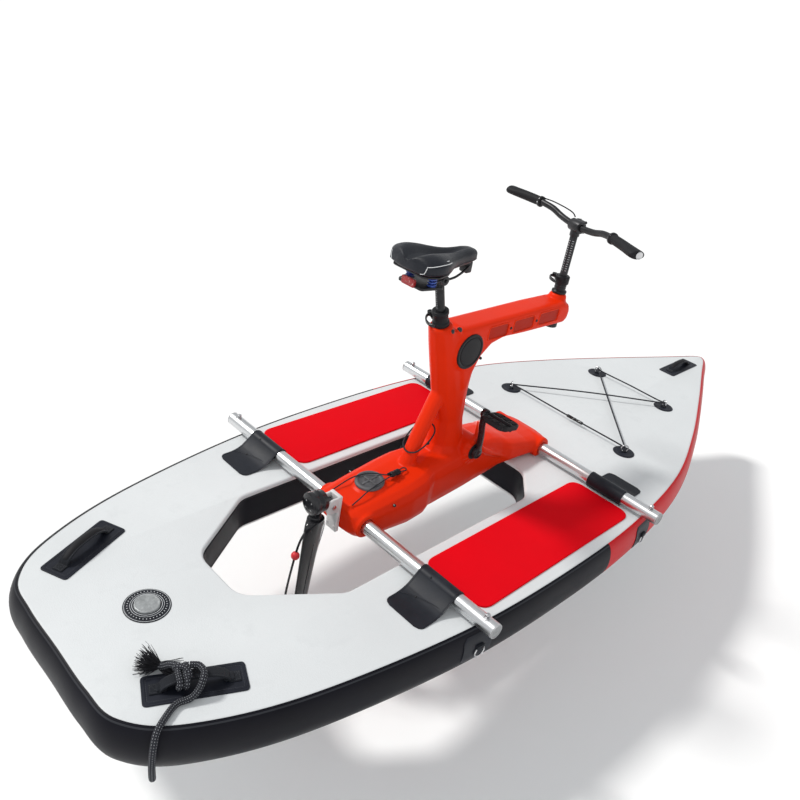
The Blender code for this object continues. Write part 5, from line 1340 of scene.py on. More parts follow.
def make_seat_post():
    """The seat's clamp with its lever, and the post with its height marks."""
    r = SEAT_POST_R
    collar = turned(eased(((r + GAP, 0), (0.0262, 0), (0.0262, 0.012), (0.023, 0.016),
                           (0.023, 0.036), (0.0256, 0.04), (0.0256, 0.0495), (0.023, 0.052),
                           (r + GAP, 0.052), (r + GAP, 0.0005)), 0.001), 56)
    ear = block((-0.008, 0.02, 0.008), (0.008, 0.034, 0.034), 0.002)
    bolt = rod(0.0038, -0.0125, 0.0105, "X", (0, 0.029, 0.021), 6)
    make("seat_clamp", [collar, ear, bolt], "plastic", "hull", ("seat_collar",),
         place=SEAT_FRAME @ Matrix.Translation((0, 0, 0.0103)))
    hug = 0.0435
    hinge = SEAT_FRAME @ Vector((0, 0, 0.0243)) + Vector((0, hug, 0))
    lever(hug, at(hinge, math.radians(-17)), "seat_cam_lever", "seat_lever", "seat_lever")
    post = rod(r, -0.23, 0.168, steps=48, edge=0.001)
    barrel = rod(0.0125, -0.018, 0.018, "Y", (0, 0, 0.17), 32)
    clamp = block((-0.0165, -0.016, 0.156), (0.0165, 0.016, 0.184), 0.005)
    make("seat_tube", [post, barrel, clamp], "metal", "seat_post", ("seat_post",),
         place=SEAT_FRAME)
    marks = [SEAT_FRAME @ Vector((-r, 0, 0.075 + 0.0075 * k)) for k in range(11)]
    facing = SEAT_FRAME.to_3x3() @ Vector((-1, 0, 0))
    grown("seat_tube_marks", dots(marks), "blocks",
          {"Size": (0.0009, 0.0032, 0.0003), "Facing": tuple(facing), "Along": (0, 0, 1)},
          "print", "seat_post")


def make_saddle_frame():
    """The saddle's clamp plate, rails and under-plate, its springs and its reflector."""
    plate = rounded(mm(
        (-50, 64), (-44, 46), (-44, -46), (-50, -64), (-122, -46), (-122, 46)), 0.012, 6)
    parts = [softened(prism(plate, -0.004, 0.004), 0.0015)]
    for side, _ in SIDES:
        rail = [(-0.052, side * 0.0215, 0.0), (-0.02, side * 0.0215, 0.002),
                (0.04, side * 0.0215, 0.004), (0.09, side * 0.018, 0.022),
                (0.112, side * 0.012, 0.034)]
        parts += [side_rod(0.014, side, 0.018 + GAP, 0.026),
                  sweep(smooth_path(rail, 10), circle(0.0035, 16)),
                  side_rod(0.0052, side, 0.026, 0.031, steps=6)]
    parts.append(block((0.096, -0.016, 0.004), (0.12, 0.016, 0.04), 0.005))
    edge = mm((-138, -60), (-95, -82), (-50, -72), (10, -38), (110, -20))
    under = rounded(edge + [(x, -y) for x, y in edge[::-1]], 0.02, 6)
    parts.append(softened(prism(under, 0.0395, 0.045), 0.0015))
    make("saddle_undercarriage", parts, "metal", "saddle", ("saddle_frame",),
         place=SADDLE_FRAME)
    steps = bpy.context.scene.water_bike.spring_turns * 20
    low, high, radius = 0.0062, 0.0415, 0.0113
    for side, name in SIDES:
        x, y = -0.078, side * 0.042
        coil = []
        for k in range(steps + 1):
            turn, rise = 2 * math.pi * k / 20, min(1, max(0, (k - 8) / (steps - 16)))
            coil.append((x + radius * math.cos(turn), y + radius * math.sin(turn),
                         low + (high - low) * rise))
        core = turned(mm(
            (0, 4.3), (13, 4.3), (13, 5.6), (6.8, 6.2), (6.2, 40), (13, 42), (13, 43.7),
            (0, 43.7)), 36, "Z",
                      (x, y, 0))
        make(f"spring_{name}", [sweep(coil, circle(0.0021, 10)), core], "spring", "saddle",
             (f"saddle_spring_{name}",), place=SADDLE_FRAME)
    lens = softened(prism(plate_outline(0.05, 0.024, 0.006, 5), -0.1305, -0.1223, "YZ"), 0.0015)
    make("rear_reflector", moved(lens, Matrix.Translation((0, 0, 0.01))), "lens", "saddle",
         ("saddle_reflector",), place=SADDLE_FRAME)


# Steering

BAR_PATH = mm((0, 0, 0), (0, 32, 0), (0, 85, 6), (-5, 130, 18), (-14, 176, 23.5), (-40, 330, 23.5))


def make_stem():
    """The turning tube in the arm, its clamp with wing loops, and the marked telescopic post."""
    top, bore = ARM_TOP + 0.016, STEM_POST_R + GAP
    shaft = turned(eased(((bore, T + 0.486), (0.024, T + 0.482), (0.024, T + 0.494),
                          (0.0165, T + 0.494), (0.0165, top + GAP), (0.026, top + GAP),
                          (0.026, top + 0.007), (0.019, top + 0.012), (0.019, top + 0.062),
                          (bore, top + 0.062), (bore, T + 0.49)), 0.001), 56)
    rings = [turned(((0.0188, z), (0.0203, z), (0.0203, z + 0.004), (0.0188, z + 0.004)), 48)
             for z in (top + 0.016, top + 0.024)]
    make("steering_tube", [shaft] + rings, "metal", "stem", ("stem_tube",),
         place=STEER_FRAME)
    base = top + 0.034
    collar = turned(eased(((0.0193, base), (0.0245, base), (0.0245, base + 0.024),
                           (0.0222, base + 0.0275), (0.0193, base + 0.0275),
                           (0.0193, base + 0.001)), 0.001), 56)
    ear = block((-0.008, 0.0205, base + 0.004), (0.008, 0.033, base + 0.022), 0.002)
    bolt = rod(0.0036, -0.0115, 0.0105, "X", (0, 0.029, base + 0.013), 6)
    wing = mm((23.5, 21), (32, 26.5), (38.5, 21), (36.5, 12), (28.5, 8.5), (23.5, 8.5))
    loops = []
    for side, turn in ((1, -58), (-1, -20)):
        loop = smooth_path([(0, side * y, base + z) for y, z in wing], 5)
        loops.append(moved(sweep(loop, circle(0.0016, 10)), at((0, 0, 0), math.radians(turn), "Z")))
    make("steering_clamp", [collar, ear, bolt] + loops, "plastic", "stem",
         ("stem_collar",), place=STEER_FRAME)
    hug = 0.0425
    lever(hug, STEER_FRAME @ Matrix.Translation((0, hug, base + 0.006)), "stem_cam_lever",
          "stem_lever", "stem_lever")
    post = rod(STEM_POST_R, T + 0.555, BAR_Z - 0.034, steps=48)
    make("steering_post", post, "metal", "stem_post", ("stem_post",),
         place=STEER_FRAME)
    pitch = bpy.context.scene.water_bike.mark_pitch
    columns = (("aft_left", 173), ("aft_right", 187), ("side_left", 231), ("side_right", 245))
    for name, turn in columns:
        way = Vector((math.cos(math.radians(turn)), math.sin(math.radians(turn)), 0))
        foot, head = (STEER_FRAME @ (way * STEM_POST_R + Vector((0, 0, z)))
                      for z in (T + 0.69, BAR_Z - 0.05))
        facing = STEER_FRAME.to_3x3() @ way
        rows = int((head - foot).length / pitch)
        spots = [foot.lerp(head, k / rows) for k in range(rows + 1)]
        grown(f"post_marks_{name}", dots(spots), "blocks",
              {"Size": (0.0013, 0.0032, 0.0003), "Facing": tuple(facing), "Along": (0, 0, 1)},
              "print", "stem_post")
    neck = rod(0.0165, BAR_Z - 0.0337, BAR_Z - 0.008, steps=40)
    inner = BAR_R + 0.0006
    shell = turned(eased(((inner, -0.024), (0.0205, -0.024), (0.0205, 0.024), (inner, 0.024),
                          (inner, -0.023)), 0.0016), 56, "Y", (0, 0, BAR_Z))
    split = [block((0.01, -0.0225, BAR_Z + z), (0.0225, 0.0225, BAR_Z + z + 0.007), 0.002)
             for z in (0.0125, -0.0195)]
    bolts = [rod(0.0042, -0.0065, 0.007, "X", (0.018, y, BAR_Z + z), 24)
             for y in (-0.014, 0.014) for z in (-0.016, 0.016)]
    make("stem_clamp_head", [neck, shell] + split + bolts, "metal", "stem_post",
         ("stem_head",), place=STEER_FRAME)


# A grip from its inner end: share of its length, half width, half depth and how far the wing leans
GRIP_STATIONS = (
    (0, 0.015, 0.015, 0), (0.012, 0.0172, 0.0172, 0), (0.035, 0.018, 0.018, 0),
    (0.06, 0.018, 0.0178, 0), (0.075, 0.0158, 0.0156, 0), (0.12, 0.0158, 0.0155, 0),
    (0.25, 0.0164, 0.0158, 0.0004), (0.4, 0.017, 0.0158, 0.001), (0.55, 0.0188, 0.0156, 0.0022),
    (0.7, 0.0222, 0.015, 0.004), (0.83, 0.0255, 0.0146, 0.005), (0.93, 0.0262, 0.0142, 0.0048),
    (0.975, 0.0235, 0.0132, 0.004), (1.0, 0.018, 0.0105, 0.002),
)


def winged_grip(length, back):
    """A ribbed grip along +Z whose wing leans to one side of X."""
    rings, count = [], 40
    sizes = smooth_path([(t * length, wide, deep) for t, wide, deep, _ in GRIP_STATIONS], 4)
    leans = smooth_path([(t * length, lean, 0) for t, _, _, lean in GRIP_STATIONS], 4)
    for (z, wide, deep), (_, lean, _) in zip(sizes, leans):
        ring = []
        for j in range(count):
            a = 2 * math.pi * j / count
            groove = 0.00035 * math.sin(a * 14) * (1 if 0.13 < z / length < 0.8 else 0)
            ring.append(((wide + groove) * math.cos(a) + back * lean,
                         (deep + groove) * math.sin(a), z))
        rings.append(ring)
    return skin(rings)


def make_bar():
    """The riser bar with winged grips, bright end bolts, lock rings and its cable."""
    half = [Vector(p) for p in BAR_PATH]
    port = smooth_path(half[:-1], 10) + half[-1:]
    path = [Vector((p.x, -p.y, p.z)) for p in port[:0:-1]] + port
    make("riser_bar", sweep(path, circle(BAR_R * 0.985, 28)), "metal", "bar",
         ("handlebar",), place=BAR_FRAME)
    for side, name in SIDES:
        inner, outer = (Vector((p.x, side * p.y, p.z)) for p in half[-2:])
        inset = (outer - inner).normalized() * 0.006
        start, end = inner + inset, outer + inset
        turn = lie_along(start, end)
        length = (end - start).length
        back = 1 if (turn.to_3x3() @ Vector((1, 0, 0))).x < 0 else -1
        make(f"grip_{name}_winged", moved(winged_grip(length, back), turn), "rubber", "bar",
             (f"grip_{name}",), crisp=60, place=BAR_FRAME)
        ring = turned(eased(mm((15.2, 2), (19, 2), (19, 9.5), (15.2, 9.5), (15.2, 2.5))), 48)
        cap = turned(((0, length - 0.002), (0.012, length - 0.002), (0.012, length + 0.0006),
                      (0.0104, length + 0.0016), (0.009, length + 0.0008), (0, length + 0.0008)),
                     40)
        bolt = rod(0.0026, -0.002, 0.0205, "X", (0, 0, 0.0058), 16)
        make(f"grip_{name}_lock_ring", moved(ring, turn), "gloss", "bar",
             place=BAR_FRAME)
        make(f"grip_{name}_bright_bolts", [moved(cap, turn), moved(bolt, turn)], "steel", "bar",
             place=BAR_FRAME)
    route = mm(
        (6, 25, 23.5), (18, 55, 28), (20, 100, 31), (6, 145, 36), (-10.5, 170, 38.5),
        (-12.6, 181.7, 38.5))
    line = [BAR_FRAME @ p for p in smooth_path(route, 8)]
    cable = make("bar_wire", sweep(line, circle(0.0022, 12)), "rubber", "bar",
                 ("bar_cable",))


# Cranks and pedals

def crank_arm(side):
    """A crank arm with a gentle S and round ends, its outer face on the given side."""
    line = smooth_path([(0, 0, 0), (0.0035, 0.03, 0), (0.003, 0.07, 0), (-0.003, 0.115, 0),
                        (0, CRANK, 0)], 8)
    right, left = [], []
    for i, p in enumerate(line):
        t = i / (len(line) - 1)
        half = 0.0098 + 0.0092 * max(0, 1 - t / 0.22) ** 2 + 0.0046 * max(0, 1 - (1 - t) / 0.2) ** 2
        right.append((p.x + half, p.y))
        left.append((p.x - half, p.y))
    outline = arc((0, 0), 0.019, 180, 360, 14)[1:-1] + right
    outline += arc((0, CRANK), 0.0144, 0, 180, 12)[1:-1] + left[::-1]
    low, high = sorted((side * CRANK_Y, side * (CRANK_Y + 0.015)))
    arm = softened(prism(outline, low, high, "XZ"), 0.0028, 3, 50)
    hub = side_rod(0.0215, side, CRANK_Y - 0.003, CRANK_Y + 0.012, steps=40, edge=0.003)
    cap = side_rod(0.0105, side, CRANK_Y, CRANK_Y + 0.0172, steps=28, edge=0.0015)
    eye = side_rod(0.0158, side, CRANK_Y - 0.001, CRANK_Y + 0.017, (0, 0, CRANK), 36, 0.003)
    groove = sweep([(x, side * (CRANK_Y + y), z) for x, y, z in
                    ((0.002, 0.0148, 0.032), (0.0025, 0.0149, 0.07), (-0.002, 0.0148, 0.125))],
                   circle(0.0021, 10))
    return [arm, hub, cap, eye, groove]


def make_cranks():
    """The crank arms on their axle, and the ribbed platform pedals."""
    axle = rod(0.011, -CRANK_Y - 0.01, CRANK_Y + 0.012, "Y")
    rings = [turned(((0.0112, side * 0.0895), (0.03, side * 0.0895), (0.0275, side * 0.0925),
                     (0.0112, side * 0.093)), 48, "Y") for side, _ in SIDES]
    make("crank_right", crank_arm(-1) + [axle], "gloss", "cranks",
         ("crank_starboard",), crisp=50, place=CRANK_FRAME)
    make("crank_left", crank_arm(1), "gloss", "cranks", ("crank_port",), crisp=50,
         place=CRANK_FRAME @ Matrix.Rotation(math.pi, 4, "Y"))
    make("crank_bearing_rings", rings, "plastic", "hull", place=CRANK_FRAME)
    for side, name in SIDES:
        place = CRANK_FRAME @ Vector((0, 0, -side * CRANK))
        make_pedal(name, side, at(place, math.radians(11)))


def make_pedal(name, side, place):
    """A platform pedal: barrel, oval cage, cross bars and two rows of ribbed tread blocks."""
    inner, outer = PEDAL_Y
    width = outer - inner
    shift = place @ Matrix.Translation((0, side * (inner + outer) / 2, 0))
    end = [(0.05, width * 0.36), (0.034, width / 2)]
    upper = end + [(-x, y) for x, y in end[::-1]]
    outline = rounded(upper + [(x, -y) for x, y in upper[::-1]], 0.02, 6)
    cage = sweep([(x * 0.955, y * 0.955, 0) for x, y in outline], strap_section(0.0045, 0.015),
                 closed=True)
    lip = sweep([(x * 0.965, y * 0.965, 0.0065) for x, y in outline], circle(0.0017, 8),
                closed=True)
    barrel = rod(0.0118, -width / 2 + 0.002, width / 2 - 0.003, "Y", (0, 0, 0), 36, 0.002)
    shapes = [cage, lip, barrel]
    shapes += [turned(((0.0116, y), (0.0132, y + 0.001), (0.0132, y + 0.005), (0.0116, y + 0.006)),
                      36, "Y") for y in (-0.04, -0.004, 0.033)]
    reach = width / 2 - 0.004
    shapes += [block((x - 0.0018, -reach, -0.0062), (x + 0.0018, reach, 0.0062), 0.001)
               for x in (-0.0155, 0.0155)]
    cell = (width - 0.018) / 3
    bars = [-width / 2 + 0.009 + cell * k for k in range(4)]
    shapes += [block((-0.047, y - 0.0017, -0.006), (0.047, y + 0.0017, 0.006), 0.001) for y in bars]
    middles = [-width / 2 + 0.009 + cell * (k + 0.5) for k in range(3)]
    half = cell / 2 - 0.0035
    shapes += [block((x - 0.0115, y - half, -0.0078), (x + 0.0115, y + half, 0.0078), 0.0018)
               for x in (-0.031, 0.031) for y in middles]
    spindle = side_rod(0.006, side, CRANK_Y + 0.002, outer - 0.01, steps=24)
    body = f"pedal_{name}"
    make(f"pedal_{name}_platform", shapes, "plastic", body, (f"pedal_{name}",),
         crisp=50, place=shift)
    make(f"pedal_{name}_spindle", spindle, "steel", body, place=place)
    turn = shift.to_3x3()
    rows = (-0.0385, -0.0335, -0.0285, -0.0235, 0.0235, 0.0285, 0.0335, 0.0385)
    for label, face in (("up", 1), ("down", -1)):
        spots = [shift @ Vector((x, y, face * 0.008)) for x in rows for y in middles]
        grown(f"pedal_{name}_treads_{label}", dots(spots), "blocks",
              {"Size": (0.0023, cell * 0.62, 0.0018), "Facing": tuple(turn @ Vector((0, 0, face))),
               "Along": tuple(turn @ Vector((1, 0, 0)))}, "tread", body)


# Drive leg

def make_pod():
    """The pale bracket and the steering pod that tilts in it, with its pins and lock tab."""
    x, _, z = KICK_FRAME.translation
    cheek = arc((x, z), 0.0265, 75, 285, 24) + [(-0.487, z - 0.03), (-0.487, z + 0.026)]
    shapes = [softened(prism(cheek, *sorted((side * 0.015, side * 0.0235)), "XZ"), 0.003)
              for side, _ in SIDES]
    shapes.append(block((-0.4895, -0.024, T - 0.02), (-0.4753, 0.024, T + 0.112), 0.004))
    shapes += [rod(0.0042, -0.4925, -0.486, "X", (0, y, T + h), 6)
               for y in (-0.016, 0.016) for h in (0.0, 0.1)]
    make("fork_bracket", shapes, "pale", "hull", ("leg_bracket",))

    aft = LEG_FRAME.translation - KICK_FRAME.translation
    pod = turned(mm(
        (0, -31), (12, -31), (24, -30), (33, -27.5), (36.8, -23.5), (37, -15), (36, -12),
        (34.5, -11.2), (34, -10), (33.8, 0), (35, 2), (35, 6), (33.8, 8), (33.6, 18), (32, 20.5),
        (0, 21)), 72, "X", aft)
    face = turned(mm(
        (21.5, -31.4), (22.5, -30.8), (25, -30.6), (26.2, -29.6), (25, -28),
        (21.5, -29)), 64, "X", aft)
    tongue = block((aft.x, -0.0138, -0.012), (0.013, 0.0138, 0.015), 0.004)
    neck = turned(eased(mm(
        (0, -60.5), (19.5, -60.5), (19.5, -52), (17.5, -50), (17.5, -20),
        (0, -20)), 0.0015), 48, "Z", aft)
    stub = rod(0.011, -0.09, -0.05, "Z", aft)
    make("leg_pod", [pod, face, tongue, neck, stub], "gloss", "leg_head",
         ("leg_head",), place=KICK_FRAME)
    pins = [rod(0.006, -0.0262, 0.0262, "Y")]
    pins += [side_rod(0.0085, side, 0.0238, 0.027, steps=6) for side, _ in SIDES]
    pins += [rod(0.0026, -0.032, -0.03, "X", aft + Vector((0, 0.0165 * y, 0.0165 * z)), 12)
             for y, z in arc((0, 0), 1, 45, 315, 3)]
    make("leg_pod_pins", pins, "steel", "leg_head", place=KICK_FRAME)
    tag = block((-0.01, -0.02, -0.0262), (0.006, -0.0148, -0.0165), 0.002)
    make("leg_lock_tab", tag, "bead", "leg_head", place=KICK_FRAME)


def make_leg():
    """The raked leg with its gear case, skeg, guard and stay, and the propeller."""
    rake, top = math.tan(math.radians(5)), -0.0608
    sections = smooth_path([(top, 0.03, 0.024), (top - 0.02, 0.044, 0.02), (-0.16, 0.043, 0.015),
                            (-0.3, 0.037, 0.012), (-LEG_LENGTH + 0.01, 0.03, 0.012)], 8)
    rings = [[((level - top) * rake + chord * c, thick * s * (1 + 0.22 * c), level)
              for c, s in circle(1.0, 40)] for level, chord, thick in sections]
    foot = Vector(((-LEG_LENGTH - top) * rake, 0, -LEG_LENGTH))
    case = turned(mm(
        (0, -62), (18, -62), (20, -61), (26, -53), (29, -46), (30.6, -25), (31, 0), (29.8, 25),
        (27, 45), (22, 64), (16, 80), (8, 92), (0, 96)), 56, "X", foot)
    fin = rounded(mm((-30, -85), (-55, -75), (-50, 0), (30, 0)), 0.012, 5)
    skeg = moved(softened(prism(fin, -0.004, 0.004, "XZ"), 0.0028), Matrix.Translation(foot))
    collar = turned(eased(((0.0114, top - 0.003), (0.024, top - 0.003), (0.024, top - 0.0005),
                           (0.0114, top - 0.0005))), 40)
    guard = smooth_path(mm(
        (-26, 0, -74), (-68, 0, -110), (-92, 0, -180), (-112, 0, -280), (-108, 0, -345),
        (-60, 0, -385)), 10)
    ribs = [sweep([(-0.004 + (level - top) * rake, side * y, level) for level, y in
                   ((-0.1, 0.015), (-0.2, 0.013), (-0.32, 0.011), (-0.42, 0.009))],
                  circle(0.0022, 8)) for side, _ in SIDES]
    make("drive_strut", [skin(rings), case, skeg, collar, sweep(guard, circle(0.0035, 14))] + ribs,
         "gloss", "drive_leg", ("drive_leg",), crisp=45, place=LEG_FRAME)
    stay = smooth_path(mm((36, 0, -80), (58, 0, -112), (52, 0, -160), (-12, 0, -340)), 12)
    make("leg_stay_wire", sweep(stay, circle(0.0022, 12)), "steel", "drive_leg", place=LEG_FRAME)
    bead = turned(mm(
        (0, -13), (5, -12.5), (9.5, -9.5), (12.5, -4.5), (13, 0), (12.5, 4.5), (9.5, 9.5),
        (5, 12.5), (0, 13)), 36, "Z",
                  (-0.083, 0, -0.15))
    make("guard_bead", bead, "bead", "drive_leg", place=LEG_FRAME)

    hub = turned(((0, -0.052), (0.004, -0.0515), (0.008, -0.05), (0.013, -0.0455),
                  (0.017, -0.04), (0.0198, -0.031), (0.021, -0.022), (0.021, -0.001),
                  (0.0202, -GAP), (0.005, -GAP), (0.005, 0.024), (0, 0.024)), 48, "X")
    make("propeller_screw", [hub] + [propeller_blade(turn) for turn in (0, math.pi)], "plastic",
         "propeller", ("propeller",), crisp=50,
         place=LEG_FRAME @ Matrix.Translation(foot + Vector((-0.062, 0, 0))))


def propeller_blade(turn):
    """One twisted blade with a rounded tip, about the propeller's fore-and-aft axis."""
    rings = []
    for k in range(25):
        share = 0.12 + 0.88 * k / 24
        radius = PROP_R * share
        half = 0.024 * math.sqrt(max(0.004, 1 - (abs(share - 0.55) / 0.46) ** 2)) + 0.002
        pitch = math.atan2(0.2, 2 * math.pi * radius)
        thick = 0.003 * (1.25 - share)
        c, s = math.cos(pitch), math.sin(pitch)
        rings.append([(-0.022 + half * a * s + thick * b * c, half * a * c - thick * b * s, radius)
                      for a, b in circle(1.0, 24)])
    return moved(skin(rings), Matrix.Rotation(turn, 4, "X"))


# Rope and cords

ROPE_R = 0.008
KNOT_ALONG = -0.03
KNOT_RISE = 0.033
# In the starboard handle's frame, then in the boat's
ROPE_ON_HANDLE = mm(
    (-12.5, 13, 51.5), (-4.5, 11.5, 51.7), (8, 7, 51.5), (16.5, -10, 50), (12, -28.5, 43),
    (1, -40, 26), (-17, -48, 12.5), (-48, -54, 8.8)
)
ROPE_OVER_RAIL = mm(
    (-1228, -326, 139.1), (-1260, -345, 132.4), (-1278, -362, 108), (-1284, -368, 70),
    (-1283, -367, 35), (-1280, -364, 12)
)
LIFT_ROUTE = mm(
    (-455.7, 46, 215), (-420, 44, 227), (-390, 40, 237.5), (-355, 31, 244), (-320, 8, 249),
    (-304, -14, 251.5), (-286, -23.5, 252.5), (-245, -22.5, 253), (-226, -20, 253),
    (-219, -27.5, 253), (-226, -35, 253), (-245, -32.5, 253), (-286, -33.5, 252.5),
    (-305, -34.5, 251.5), (-350, -37, 244.5), (-390, -40, 237.5), (-423, -44, 227),
    (-455.7, -46, 215)
)


def make_rope():
    """The braided mooring rope, its hitch on the starboard handle and its frayed tail."""
    place = STERN_FRAMES["starboard"]
    turns = []
    for shift in (-0.0082, 0.0076):
        oval = [(KNOT_ALONG + shift + 0.0012 * math.sin(3 * t), 0.0278 * math.cos(t),
                 KNOT_RISE + 0.0168 * math.sin(t)) for t in turns_of(48)]
        turns.append(sweep(oval, circle(0.0074, 16), closed=True))
    over = [(KNOT_ALONG + x, y, KNOT_RISE + z) for x, y, z in
            ((-0.014, 0.02, 0.006), (-0.01, 0.012, 0.0215), (0.004, 0.004, 0.0245),
             (0.013, -0.006, 0.02), (0.015, -0.016, 0.008))]
    turns.append(sweep(smooth_path(over, 8), circle(0.0074, 16)))
    first, second = Vector(ROPE_ON_HANDLE[0]), Vector(ROPE_ON_HANDLE[1])
    lead = smooth_path([(KNOT_ALONG - 0.01, 0.018, KNOT_RISE + 0.01),
                        (KNOT_ALONG + 0.004, 0.013, KNOT_RISE + 0.0165),
                        first - (second - first).normalized() * 0.0008], 8)
    turns.append(sweep(lead, circle(ROPE_R * 0.98, 16)))
    tail = smooth_path([(KNOT_ALONG + 0.004, 0.006, 0.05), (KNOT_ALONG - 0.006, 0.018, 0.0465),
                        (-0.052, 0.037, 0.0345), (-0.066, 0.048, 0.02), (-0.08, 0.0575, 0.015)], 8)
    turns.append(sweep(tail, circle(ROPE_R * 0.95, 16),
                       sizes=[1.0 + 0.12 * i / (len(tail) - 1) for i in range(len(tail))]))
    tied = [make(f"rope_hitch_{k}", turn, "rope", "hull",
                 ("rope_knot",) if k == 0 else (), place=place) for k, turn in enumerate(turns)]
    root = lie_along((-0.074, 0.0545, 0.015), (-0.165, 0.088, 0.031))
    dome = [[(x, y, 0.003 * math.cos(k / 3 * 1.3)) for x, y in circle(0.0022 + 0.0068 * k / 3, 16)]
            for k in (3, 2, 1, 0)]
    density = bpy.context.scene.water_bike.strand_count / 0.0004
    fluff = grown("rope_frayed_tail", moved(skin(dome), place @ root), "strands",
                  {"Density": density, "Length": 0.061, "Thickness": 0.0017, "Splay": 0.34,
                   "Seed": 11}, "bristle", "hull")
    tied.append(fluff)
    line = smooth_path([place @ Vector(p) for p in ROPE_ON_HANDLE] + list(ROPE_OVER_RAIL), 8)
    sizes = [1.0] * (len(line) - 3) + [0.985, 0.95, 0.8]
    rope = make("mooring_line", sweep(line, circle(ROPE_R, 20), sizes=sizes), "rope", "hull",
                ("rope",))


def make_lift_cord():
    """The cord that lifts the leg, its grooved toggle, and the spare loop round the strut."""
    line = smooth_path(LIFT_ROUTE, 8)
    cord = make("leg_lift_line", sweep(line, circle(0.002, 12)), "cord", "hull",
                ("lift_cord",))
    start, end = Vector((-0.286, -0.028, 0.2525)), Vector((-0.248, -0.028, 0.253))
    grooves = ((0.0, 0.72), (0.04, 0.92), (0.1, 1.0), (0.3, 1.0), (0.36, 0.84), (0.46, 0.84),
               (0.52, 1.0), (0.6, 1.0), (0.66, 0.86), (0.74, 1.0), (0.92, 1.0), (0.97, 0.9),
               (1.0, 0.72))
    barrel = sweep([start.lerp(end, t) for t, _ in grooves], circle(0.0085, 28, 1.35),
                   sizes=[size for _, size in grooves])
    button = rod(0.005, -0.0075, 0.0, "X", start + Vector((0.001, 0.0055, 0.0005)), 24, 0.0012)
    make("cord_stopper", [barrel, button], "plastic", "hull", ("cord_toggle",))
    loop = mm(
        (-103, 0, 372), (-116.5, 32, 362), (-150.5, 40, 336), (-186.5, 30, 308), (-198.5, 0, 296),
        (-186.5, -30, 306), (-150.5, -40, 334), (-116.5, -32, 362))
    ring = sweep(smooth_path(loop, 8, closed=True), circle(0.0025, 12), closed=True)
    make("spare_loop", ring, "cord", "hull", ("strut_loop",))
    knot = [(-0.1505 + 0.004 * math.cos(t), -0.041 + 0.0012 * math.sin(2 * t),
             0.334 + 0.004 * math.sin(t)) for t in turns_of(20)]
    make("spare_loop_knot", sweep(knot, circle(0.0025, 10), closed=True), "cord", "hull")


# Stage

FLOOR_Z = -0.378
FLOOR_SIDES = 96
FLOOR_RINGS = ((14, 0), (500, 44))  # radius and rise: flat to the first, then up to the horizon
AIM = Vector((0.2, 0, 0.2))
CAMERA_AT = (-1.833, -1.356, 1.642)
CAMERA_TURN = (41.01, -28.8, 10.24)


def shown(name, data):
    """An object for a datablock, in the scene."""
    obj = bpy.data.objects.new(name, data)
    bpy.context.scene.collection.objects.link(obj)
    return obj


def make_stage():
    """A pale floor and air, a high soft key from the port quarter, a fill, and the camera."""
    s = bpy.context.scene.water_bike
    floor = bpy.data.meshes.new("floor")
    rim = [(k, k + FLOOR_SIDES, (k + 1) % FLOOR_SIDES + FLOOR_SIDES, (k + 1) % FLOOR_SIDES)
           for k in range(FLOOR_SIDES)]
    points = [(x, y, rise) for span, rise in FLOOR_RINGS for x, y in circle(span, FLOOR_SIDES)]
    floor.from_pydata(points, [], [tuple(range(FLOOR_SIDES))] + rim)
    paper = bpy.data.materials.new("pale_floor")
    paper.use_nodes = True
    shader = paper.node_tree.nodes["Principled BSDF"]
    shader.inputs["Base Color"].default_value = (0.9, 0.9, 0.9, 1)
    shader.inputs["Roughness"].default_value = 0.9
    floor.materials.append(paper)
    ground = shown("floor", floor)
    ground.location.z = FLOOR_Z
    world = bpy.data.worlds.new("studio")
    world.use_nodes = True
    back = world.node_tree.nodes["Background"]
    back.inputs["Color"].default_value = (0.96, 0.98, 1.0, 1)
    back.inputs["Strength"].default_value = s.air_strength
    bpy.context.scene.world = world
    bpy.context.scene.view_settings.view_transform = "Standard"
    key = bpy.data.lights.new("key", "SUN")
    key.angle, key.energy, key.color = math.radians(9), s.key_power, (1.0, 0.985, 0.955)
    fill = bpy.data.lights.new("fill", "AREA")
    fill.size, fill.energy, fill.color = 4.0, s.fill_power, (0.97, 0.985, 1.0)
    for lamp, spot in ((key, (-2.4, 4.2, 5.6)), (fill, (-4.2, -3.4, 3.0))):
        obj = shown(lamp.name, lamp)
        obj.location = spot
        obj.rotation_euler = (AIM - Vector(spot)).to_track_quat("-Z", "Y").to_euler()
    yaw, pitch, roll = (math.radians(a) for a in CAMERA_TURN)
    level = math.cos(pitch)
    ahead = Vector((level * math.cos(yaw), level * math.sin(yaw), math.sin(pitch)))
    right = Vector((math.sin(yaw), -math.cos(yaw), 0))
    up = right.cross(ahead)
    across = right * math.cos(roll) + up * math.sin(roll)
    above = up * math.cos(roll) - right * math.sin(roll)
    lens = bpy.data.cameras.new("camera")
    lens.lens, lens.sensor_width, lens.clip_end = s.lens, 36, 1500
    camera = shown("camera", lens)
    camera.matrix_world = Matrix.Translation(CAMERA_AT) @ Matrix(
        (across, above, -ahead)).transposed().to_4x4()
    bpy.context.scene.camera = camera


# Add-on

def colour_prop(name, note, value):
    """A colour setting."""
    return bpy.props.FloatVectorProperty(name=name, description=note, default=value, size=3, min=0,
                                         max=1, subtype="COLOR")


def length_prop(name, note, value, low=0.0, high=1.0):
    """A length setting in metres."""
    return number_prop(name, note, value, low, high, unit="LENGTH", precision=4)


def number_prop(name, note, value, low, high, **more):
    """A plain number as a setting."""
    return bpy.props.FloatProperty(name=name, description=note, default=value, min=low, max=high,
                                   **more)


def count_prop(name, note, value, low, high):
    """A whole number as a setting."""
    return bpy.props.IntProperty(name=name, description=note, default=value, min=low, max=high)


